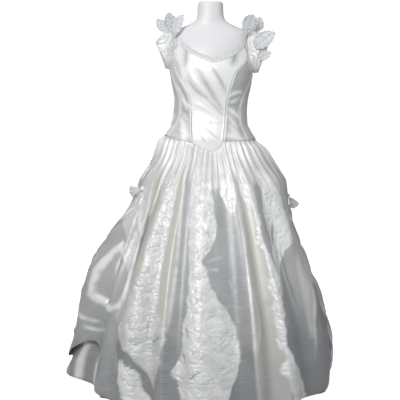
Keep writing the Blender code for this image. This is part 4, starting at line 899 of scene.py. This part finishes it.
def makeUnderskirt(word, first):
    s = underskirt
    down, deg = halfGrid(first, s)
    whole = wrap(deg)
    seam = waistSeam(whole) - cloth["gap"]
    low = s["hem"] + s["hemRise"] * hump(wrap(deg - s["riseAt"]) / s["riseRun"])
    drop = s["topDrop"] + (seam - s["topDrop"] - low) * down
    z = seam - drop
    hem = overHem(whole)
    raised = ease((hem - s["showsFrom"]) / s["showsRun"])
    below = ease((hem - s["showsClear"] - z) / s["showsRun"])
    start = cloth["satin"] + cloth["gap"] + 2 * cloth["allow"]
    inset = start + (s["inset"] - start) * np.minimum(1.0, drop / s["insetRun"])
    inset = inset * (1 - s["outShare"] * raised * below)
    inset += s["waveHeight"] * ease(drop / s["waveRun"]) * (1 - np.cos(np.radians(s["waves"] * deg)))
    points = skirtPoint(deg, z, inset, False)
    arc = whole * skirt["arc"]
    rise = s["crumple"] * crumple(arc, z * s["squeeze"], s["crumpleSize"], 51)
    rise = rise * ease((hem - s["hemClear"] - z) / s["hemRun"])
    points = openSides(points + gridNormals(points) * rise[..., None], deg, first)
    # painted highlight stripes on the painted shade
    lit = s["litShare"] * sum(patchShare(whole, z, rows, s["litSoft"]) for rows in s["lit"])
    made = makeCloth("underskirt" + word, points, satinSkirt, cloth["organza"], uv=(arc, z - low), paint={
        "crinkle": s["crinkle"] + s["litCrinkle"] * lit, "tone": s["tone"], "shade": s["grey"] * (1 - lit)})
    settle(made, "underskirt_" + word.lower())


for word, first in (("Front", -90.0), ("Back", 90.0)):
    makeOverskirt(word, first)
    makeUnderskirt(word, first)
print("skirts made")

# Armhole bands and sleeves
armhole = {
    # where the rays start, and for each turn the band's outer and inner opening in degrees
    "centre": (0.105, 0.002, 1.285),
    "band": (
        (-90, 52, 61), (-45, 50, 61), (0, 44, 62), (45, 54, 70), (90, 62, 79), (135, 54, 70), (180, 44, 62),
        (225, 50, 61), (270, 52, 61),
    ),
    "steps": 32, "fineSteps": 192, "reach": 0.30, "bandRows": 14, "bandArc": 0.0014, "bandHigh": 0.045,
    "pleats": 44, "pleatHeight": 0.0011, "pleatRun": 0.10, "pleatThread": 0.35, "pleatFrom": 0.0006,
    "sleeveRows": 30, "sleeveRoot": 2.5, "sleeveArc": 0.0011, "sleeveHigh": 0.07, "rim": 0.0010,
    "sleeves": {
        "left": {
            "side": -1, "centre": (-0.192, -0.004, 1.276), "halfHeight": 0.054, "halfDepth": 0.056,
            "lean": 21.0, "bulge": 0.010, "tone": 0.05, "crinkle": 0.05, "cut": (0.36, 0.058)},
        "right": {
            "side": 1, "centre": (0.208, 0.000, 1.265), "halfHeight": 0.060, "halfDepth": 0.056,
            "lean": 20.0, "bulge": 0.014, "tone": 0.40, "crinkle": 0.25, "cut": (0.38, 0.074)},
    },
    "crumple": 0.0022, "crumpleSize": 0.030, "bandCut": (0.42, 0.026),
    # painted shade on the sleeves: a little all over, more towards the rim and along the puckers
    "sleeveShade": 0.18, "rimShade": 0.42, "puckerShade": 0.40, "puckerAt": 0.1, "puckerWidth": 0.3,
}
bandOuter = curve(armhole["band"], 1)
bandInner = curve(armhole["band"], 2)


def turnOf(turn):
    return (np.asarray(turn, float) + 90.0) % 360.0 - 90.0


def bandPoint(side, turn, across, lift):
    # where a ray from inside the shoulder leaves the torso, moved out by lift
    read = turnOf(turn)
    opening = np.radians(bandOuter(read) + (bandInner(read) - bandOuter(read)) * across)
    turn = np.radians(turn)
    ray = np.stack([side * np.cos(opening), -np.sin(opening) * np.cos(turn),
                    np.sin(opening) * np.sin(turn)], axis=-1)
    centre = np.array([side * armhole["centre"][0], *armhole["centre"][1:]])

    def at(reach):
        p = centre + ray * reach[..., None]
        return p, np.degrees(np.arctan2(p[..., 0], -p[..., 1]))

    def within(reach):
        p, deg = at(reach)
        return (p[..., 2] < torso["high"]) & (np.hypot(p[..., 0], p[..., 1]) < torsoRadius(deg, p[..., 2]))

    p, deg = at(search(within, opening.shape, 0.0, armhole["reach"], 36))
    return torsoPoint(deg, p[..., 2], lift)


def sleevePoint(shape, turn, along):
    side = shape["side"]
    read = turnOf(turn)
    root = bandPoint(side, turn, armhole["sleeveRoot"] / (bandInner(read) - bandOuter(read)), cloth["trim"])
    lean = math.radians(shape["lean"]) * side
    up = np.array([math.sin(lean), 0.0, math.cos(lean)])
    out = (up * shape["halfHeight"] * np.sin(np.radians(turn))[..., None]
           + np.array([0.0, -1.0, 0.0]) * shape["halfDepth"] * np.cos(np.radians(turn))[..., None])
    rim = np.array(shape["centre"]) + out
    upper = 0.5 + 0.5 * np.sin(np.radians(read))
    swell = shape["bulge"] * upper * np.sin(np.pi * along)
    return root * (1 - along)[..., None] + rim * along[..., None] + unit(out) * swell[..., None]


def makeArmholes():
    a = armhole
    for word, shape in a["sleeves"].items():
        around = shape["side"] * 360.0
        across, turn = grid(a["bandRows"], a["fineSteps"], 0.0, around)
        pleat = a["pleatHeight"] * (1 - np.abs(np.sin(np.radians(a["pleats"] * turn / 2))))
        lift = cloth["lap"] + pleat * ease(np.minimum(across, 1 - across) / a["pleatRun"] + 0.2)
        points = bandPoint(shape["side"], turn, across, lift)
        points[:, -1] = points[:, 0]
        edge = np.maximum(hump(across / a["pleatRun"]), hump((1 - across) / a["pleatRun"]))
        thread = np.maximum(edge, a["pleatThread"] * (pleat > a["pleatFrom"]))
        uv = turn * a["bandArc"], across * a["bandHigh"]
        made = makeCloth("armBand" + word.title(), points, trimOrganza, cloth["organza"], outward=True,
                         closed=True, uv=uv, paint={"thread": thread})
        settle(made, "armhole_band_" + word)
        along, turn = grid(a["sleeveRows"], a["fineSteps"], 0.0, around)
        along = 1 - along
        points = sleevePoint(shape, turn, along)
        uv = turn * a["sleeveArc"], along * a["sleeveHigh"]
        creased = crumple(*uv, a["crumpleSize"], 61)
        ripple = a["crumple"] * creased * ease(along / 0.25)
        ripple = ripple * ease((360 - np.abs(turn)) / 12) * ease(np.abs(turn) / 12)
        ripple += a["rim"] * hump((along - 0.95) / 0.05)
        points = points + gridNormals(points, True) * ripple[..., None]
        points[:, -1] = points[:, 0]
        # painted shade towards the rim and in the puckers
        shade = a["sleeveShade"] + a["rimShade"] * ease((along - 0.86) / 0.10)
        shade += a["puckerShade"] * hump((np.abs(creased) - a["puckerAt"]) / a["puckerWidth"])
        paint = {"crinkle": shape["crinkle"], "tone": shape["tone"], "shade": shade}
        made = makeCloth("capSleeve" + word.title(), points, satinBodice, cloth["satin"], outward=True,
                         closed=True, uv=uv, paint=paint)
        settle(made, "sleeve_" + word)


makeArmholes()
print("armholes made")

# Leaf petals: side, carrier, its row and step there, tip, width
petals = {
    "rows": (
        ("left", "sleeve", 2, 7, (-0.206, -0.034, 1.413), 0.042),
        ("left", "band", 1, 7, (-0.161, -0.056, 1.434), 0.054),
        ("left", "band", 1, 5, (-0.104, -0.068, 1.424), 0.048),
        ("left", "band", 1, 10, (-0.150, 0.068, 1.420), 0.040),
        ("right", "band", 1, 7, (0.166, -0.060, 1.426), 0.064),
        ("right", "sleeve", 2, 8, (0.196, -0.012, 1.422), 0.050),
        ("right", "band", 1, 5, (0.122, -0.070, 1.398), 0.028),
        ("right", "sleeve", 2, 2, (0.248, -0.084, 1.353), 0.066),
        ("right", "sleeve", 1, 31, (0.234, -0.086, 1.277), 0.042),
        ("right", "band", 1, 10, (0.165, 0.068, 1.415), 0.040),
    ),
    "long": 44, "across": 26, "cup": 0.16, "bow": 0.12, "root": 0.0050, "tip": 0.0010, "leaf": 1.06,
    "fullness": 0.68, "notch": 0.22, "notches": 8.0, "notchFrom": 0.35, "notchTo": 0.97,
    "pleats": 2.5, "pleatHeight": 0.0016, "lift": 0.004, "liftRun": 0.4, "frontLimit": 0.03,
    "bandRows": 2, "sleeveRows": 3, "ruffle": 0.0022, "ruffles": 5.0, "narrow": 0.012,
    # half widths of the threads in metres, apart from the veins', which is a share of their spacing
    "veins": 5, "veinAngle": 38, "vein": 0.0007, "veinWidth": 0.16, "midribWidth": 0.0016, "hemWidth": 0.0020,
    # what the pleats and the bow take up, and the leaf's share of its cut
    "flatWider": 1.10, "flatLonger": 1.03, "flatShare": 0.78,
}


def seatOn(word, carrier, row, step):
    # the corner of the carrier's grid that the petal's root is sewn on
    shape = armhole["sleeves"][word]
    side = shape["side"]
    turn = side * 360.0 / armhole["steps"]
    column = step if word == "right" else armhole["steps"] - step
    spots = {}
    last = petals["bandRows"] if carrier == "band" else petals["sleeveRows"]
    for key, i, j in (("here", column, row), ("next", column + 1, row), ("before", column - 1, row),
                      ("over", column, min(row + 1, last)), ("under", column, max(row - 1, 0))):
        angle = np.array([turn * i])
        if carrier == "band":
            spots[key] = bandPoint(side, angle, np.array([j / last]), cloth["lap"])[0]
        else:
            spots[key] = sleevePoint(shape, angle, np.array([1 - j / last]))[0]
    out = unit(np.cross(spots["next"] - spots["before"], spots["over"] - spots["under"]))
    wall = cloth["organza"] if carrier == "band" else cloth["satin"]
    return spots["here"] + out * (wall + cloth["gap"]), out


def makePetals():
    p = petals
    counts = {"left": 0, "right": 0}
    for word, carrier, row, step, tip, width in p["rows"]:
        counts[word] += 1
        root, out = seatOn(word, carrier, row, step)
        run = np.array(tip) - root
        length = np.linalg.norm(run)
        ahead = run / length
        face = np.array([0.0, -1.0 if tip[1] < p["frontLimit"] else 1.0, 0.0])
        wide = unit(np.cross(run, face))
        face = unit(np.cross(wide, run))
        seated = unit(wide - out * wide.dot(out))
        v, u = grid(p["long"], p["across"], -1.0)
        broad = np.abs(np.sin(np.pi * v ** p["leaf"])) ** p["fullness"]
        notch = p["notch"] * ((p["notches"] * v + 0.37 * counts[word]) % 1)
        notch = notch * (v > p["notchFrom"]) * (v < p["notchTo"])
        half = np.maximum(p["tip"], width / 2 * broad * (1 - notch) + p["root"] * (1 - v) ** 3)
        centre = root + run * v[..., None] + (out - ahead * out.dot(ahead)) * (
            length * p["bow"] * np.sin(np.pi * v))[..., None]
        centre = centre + out * (p["lift"] * np.sin(np.pi * np.minimum(1, v / p["liftRun"])))[..., None]
        blend = np.minimum(1, 2 * v)[..., None]
        sideways = unit(seated * (1 - blend) + wide * blend)
        points = centre + sideways * (half * u)[..., None] + face * (p["cup"] * half * u * u * v)[..., None]
        # midrib and side veins run forward from it, and the edge is stitched and ruffled
        metres = np.abs(u) * half
        spread = (v * length - metres * (1 / math.tan(math.radians(p["veinAngle"])))) / length
        veins = ridge((((spread * p["veins"] + 0.5) % 1) - 0.5) / p["veinWidth"])
        veins = veins * (np.abs(u) < 0.93) * (spread > 0.02)
        midrib = ridge(metres / p["midribWidth"])
        hemmed = ridge((1 - np.abs(u)) * half / p["hemWidth"])
        thread = np.clip(np.maximum(np.maximum(0.5 * midrib, 0.3 * veins), 0.9 * hemmed), 0, 1)
        calm = np.minimum(1, half / p["narrow"])
        wave = p["ruffle"] * u * u * np.sin(2 * np.pi * p["ruffles"] * v + 1.3 * np.sign(u) + counts[word])
        wave = wave * ease(v / 0.3) * ease((1 - v) / 0.15) * calm
        wave += p["pleatHeight"] * np.cos(np.pi * p["pleats"] * (u + 0.4 * v)) * ease(v / 0.25) * calm
        points = points + face * (wave + p["vein"] * thread * ease(v / 0.15))[..., None]
        made = makeCloth(f"petal{word.title()}{counts[word]}", points, leafOrganza, cloth["organza"],
                         outward=True, uv=(u * half, v * length), paint={"thread": thread})
        settle(made, f"petal_{word}_{counts[word]}")


makePetals()
print("petals made")

frills = {
    # name, node, the piece it is sewn on, first and last angle, columns, waves, flat size
    "pieces": (
        ("neckFrillFront", "neckline_frill_front", "centre_front", -61.0, 66.0, 420, 22, (0.32, 0.022)),
        ("neckFrillBack", "neckline_frill_back", "back_left", 138.0, 222.0, 200, 10, (0.19, 0.022)),
    ),
    # share of the width, height above the neckline, share of the wave
    "profile": ((0.0, -0.006, 0.0), (0.35, 0.001, 0.3), (1.0, 0.014, 1.0)), "wave": 0.0020, "waveClear": 1.3,
    "rowCount": 14, "scallopDepth": 0.0030, "hemWidth": 0.16, "stitchAt": 0.30, "stitchWidth": 0.10,
    "arc": 0.0022, "high": 0.022,
}


def makeFrills():
    f = frills
    riseAt, waveAt = curve(f["profile"], 1), curve(f["profile"], 2)
    for name, node, carrier, start, end, columns, waves, cut in f["pieces"]:
        v, deg = grid(f["rowCount"], columns, start, end)
        beat = (deg - start) / (end - start) * waves
        scallop = np.abs(np.sin(np.pi * beat)) ** 0.5
        rise = riseAt(v) - f["scallopDepth"] * (1 - scallop) * ease((v - 0.5) / 0.5)
        sway = np.cos(2 * np.pi * beat) + 0.35 * np.cos(6 * np.pi * beat + 1)
        lift = cloth["lap"] + f["wave"] * f["waveClear"] * waveAt(v) + f["wave"] * waveAt(v) * sway
        points = torsoPoint(deg, topEdge(wrap(deg)) + rise, lift)
        thread = np.maximum(hump((1 - v) / f["hemWidth"]), hump((v - f["stitchAt"]) / f["stitchWidth"]))
        made = makeCloth(name, points, trimOrganza, cloth["organza"], outward=True,
                         uv=(deg * f["arc"], v * f["high"]), paint={"thread": thread})
        settle(made, node)


makeFrills()

buttons = {
    "count": 11, "radius": 0.0055, "height": 0.0042, "top": 1.232, "pitch": 0.0275, "offset": 0.0085,
    "dome": 0.8, "flat": 0.75, "seatAt": 0.78,
}


def makeButtons():
    b = buttons
    for k in range(b["count"]):
        z = np.array(b["top"] - b["pitch"] * k)
        deg = 180.0 - np.degrees(b["offset"] / torsoRadius(180.0, z))
        seat = torsoPoint(deg, z, cloth["lift"] + cloth["satin"] + cloth["gap"])
        out = unit(torsoPoint(deg, z, cloth["lap"] + b["radius"]) - seat)
        bm = bmesh.new()
        bmesh.ops.create_uvsphere(bm, u_segments=32, v_segments=18, radius=b["radius"])
        for vert in bm.verts:       # domed above, flat below, with a rounded rim
            share = vert.co.z / b["radius"]
            vert.co.z = b["height"] * abs(share) ** b["dome"] * (1 if share > 0 else -b["flat"])
        bmesh.ops.translate(bm, verts=bm.verts, vec=(0, 0, b["height"] * b["seatAt"]))
        turnOut(bm, out, seat)
        settle(fromBmesh(f"satinButton{k + 1:02d}", bm, satinBodice), f"button_{k + 1:02d}")


makeButtons()

hipFans = {
    "places": {
        "left": {"deg": -67.5, "row": 8, "heading": (-0.86, 0.22, -0.16), "carrier": "overskirtFront"},
        "right": {"deg": 97.5, "row": 8, "heading": (0.62, -0.20, -0.75), "carrier": "overskirtBack"},
    },
    "gridRows": 14, "gridCrowding": 1.6, "length": 0.046, "spread": 27.0, "pleats": 3, "height": 0.0034,
    "start": 0.35, "lie": 0.3, "facing": 0.4, "arch": 0.007, "rows": 26, "columns": 96, "rounding": 0.10,
    "knot": 0.0095, "knotDepth": 0.8, "grooves": 7, "groove": 0.0008, "groovesLow": 0.0006,
    # grey is the painted shade in the pleats' valleys
    "halfWide": 0.02, "cut": (0.055, 0.048), "crinkle": 0.1, "tone": 0.1, "grey": 0.35,
}


def makeHipFans():
    h = hipFans
    for word, fan in h["places"].items():
        deg = np.array(fan["deg"])
        seam = waistSeam(deg) - cloth["gap"]
        down = (1 - fan["row"] / h["gridRows"]) ** h["gridCrowding"]
        z = seam + (overHem(deg) - seam) * down
        seat = skirtPoint(deg, z)
        out = unit(seat - skirtPoint(deg, z, h["knot"]))
        middle = seat + out * (h["knot"] * h["knotDepth"] + cloth["gap"])
        bm = bmesh.new()
        bmesh.ops.create_icosphere(bm, subdivisions=4, radius=h["knot"])
        for vert in bm.verts:       # a pleated knot: grooves run over it from the fan's side
            angle = math.atan2(vert.co.y, vert.co.z)
            groove = h["groove"] * math.cos(h["grooves"] * angle) * (1 - abs(vert.co.x) / h["knot"])
            vert.co += vert.co.normalized() * (groove - h["groovesLow"])
        bmesh.ops.scale(bm, verts=bm.verts, vec=(1.0, 1.0, h["knotDepth"]))
        turnOut(bm, out, middle)
        settle(fromBmesh("hipKnot" + word.title(), bm, satinBodice), "hip_knot_" + word)
        heading = np.array(fan["heading"])
        forward = unit(heading - out * heading.dot(out) * h["lie"])
        facing = unit(out * h["facing"] + np.array([0.0, -1.0, 0.0]))
        sideways = unit(np.cross(facing, forward))
        flat = unit(np.cross(forward, sideways))
        along, share = grid(h["rows"], h["columns"], -1.0)
        spread = np.radians(h["spread"]) * share
        rounded = 1 - h["rounding"] + h["rounding"] * np.cos(1.4 * share)
        reach = h["knot"] + cloth["gap"] + h["length"] * along * rounded
        pleat = 2 * np.abs(((share + 1) * h["pleats"] / 2 + 0.5) % 1 - 0.5) * 2 - 1
        heave = h["height"] * (h["start"] + (1 - h["start"]) * along) * pleat
        heave = heave + h["arch"] * np.sin(np.pi * along)
        ray = forward * np.cos(spread)[..., None] + sideways * np.sin(spread)[..., None]
        points = middle + ray * reach[..., None] + flat * heave[..., None]
        # painted shade in the pleats' valleys, none on their crests
        paint = {"crinkle": h["crinkle"], "tone": h["tone"], "shade": h["grey"] * (1 - pleat)}
        made = makeCloth("hipFan" + word.title(), points, satinBodice, cloth["satin"], outward=True,
                         uv=(share * h["halfWide"], reach), paint=paint)
        settle(made, "hip_fan_" + word)


makeHipFans()
print("trims made")

for node in ("stand_base", "stand_pole", "stand_collar", "stand_plate"):
    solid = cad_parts[node]
    solid.data.materials.clear()
    solid.data.materials.append(steel)

# Floor, lights and camera
studio = {
    "floor": 400.0, "floorColour": (0.8, 0.8, 0.8, 1.0), "floorGlow": 1.0, "floorRoughness": 0.85,
    "room": 0.21, "roomColour": (0.96, 0.98, 1.0, 1.0), "white": (1.0, 1.0, 1.0, 1.0), "backdrop": 1.08,
    # name, place, aim, width, height, power, colour
    "lights": (
        ("key", (-0.9, -2.5, 2.45), (0.0, 0.0, 1.25), 1.5, 1.2, 60.0, (1.0, 0.99, 0.98)),
        ("side", (3.2, -2.0, 2.2), (0.0, 0.0, 1.0), 0.9, 1.4, 11.0, (0.93, 0.97, 1.0)),
        ("rim", (-1.6, 3.8, 2.6), (0.0, 0.0, 0.7), 2.0, 1.8, 76.0, (1.0, 1.0, 1.0)),
        ("top", (0.3, -0.7, 3.6), (0.0, 0.0, 0.9), 2.2, 2.2, 14.0, (1.0, 1.0, 1.0)),
    ),
    "camera": {"at": (-0.039, -4.0, 0.90), "lens": 92.16, "shiftY": -0.1225},
}


def makeStudio():
    s = studio
    finish, tree, shader = nodeKit("paleFloor")
    # the floor looks as white as the backdrop, without lighting the skirt from below
    seen = add(tree, "ShaderNodeLightPath").outputs["Is Camera Ray"]
    feed(tree, shader, {
        "Base Color": s["floorColour"], "Roughness": s["floorRoughness"], "Emission Color": s["white"],
        "Emission Strength": maths(tree, "MULTIPLY", seen, s["floorGlow"])})
    bm = bmesh.new()
    bmesh.ops.create_grid(bm, x_segments=1, y_segments=1, size=s["floor"])
    fromBmesh("studioFloor", bm, finish)
    world = bpy.data.worlds.new("studioRoom")
    world.use_nodes = True
    tree = world.node_tree
    room = tree.nodes["Background"]
    feed(tree, room, {"Color": s["roomColour"], "Strength": s["room"]})
    white = add(tree, "ShaderNodeBackground", {"Color": s["white"], "Strength": s["backdrop"]})
    seen = add(tree, "ShaderNodeLightPath").outputs["Is Camera Ray"]
    mix = add(tree, "ShaderNodeMixShader", {0: seen, 1: room.outputs[0], 2: white.outputs[0]})
    feed(tree, tree.nodes["World Output"], {"Surface": mix.outputs[0]})
    bpy.context.scene.world = world
    for name, at, aim, width, height, power, colour in s["lights"]:
        lamp = bpy.data.lights.new(name, "AREA")
        lamp.shape = "RECTANGLE"
        lamp.size, lamp.size_y = width, height
        lamp.energy = power
        lamp.color = colour
        made = inScene(name, lamp)
        made.location = at
        made.rotation_euler = (Vector(aim) - Vector(at)).to_track_quat("-Z", "Y").to_euler()
    lens = bpy.data.cameras.new("camera")
    lens.lens = s["camera"]["lens"]
    lens.shift_y = s["camera"]["shiftY"]
    camera = inScene("camera", lens)
    camera.location = s["camera"]["at"]
    camera.rotation_euler = (math.radians(90), 0.0, 0.0)
    bpy.context.scene.camera = camera
    bpy.context.scene.view_settings.view_transform = "Standard"


makeStudio()
print("studio made")
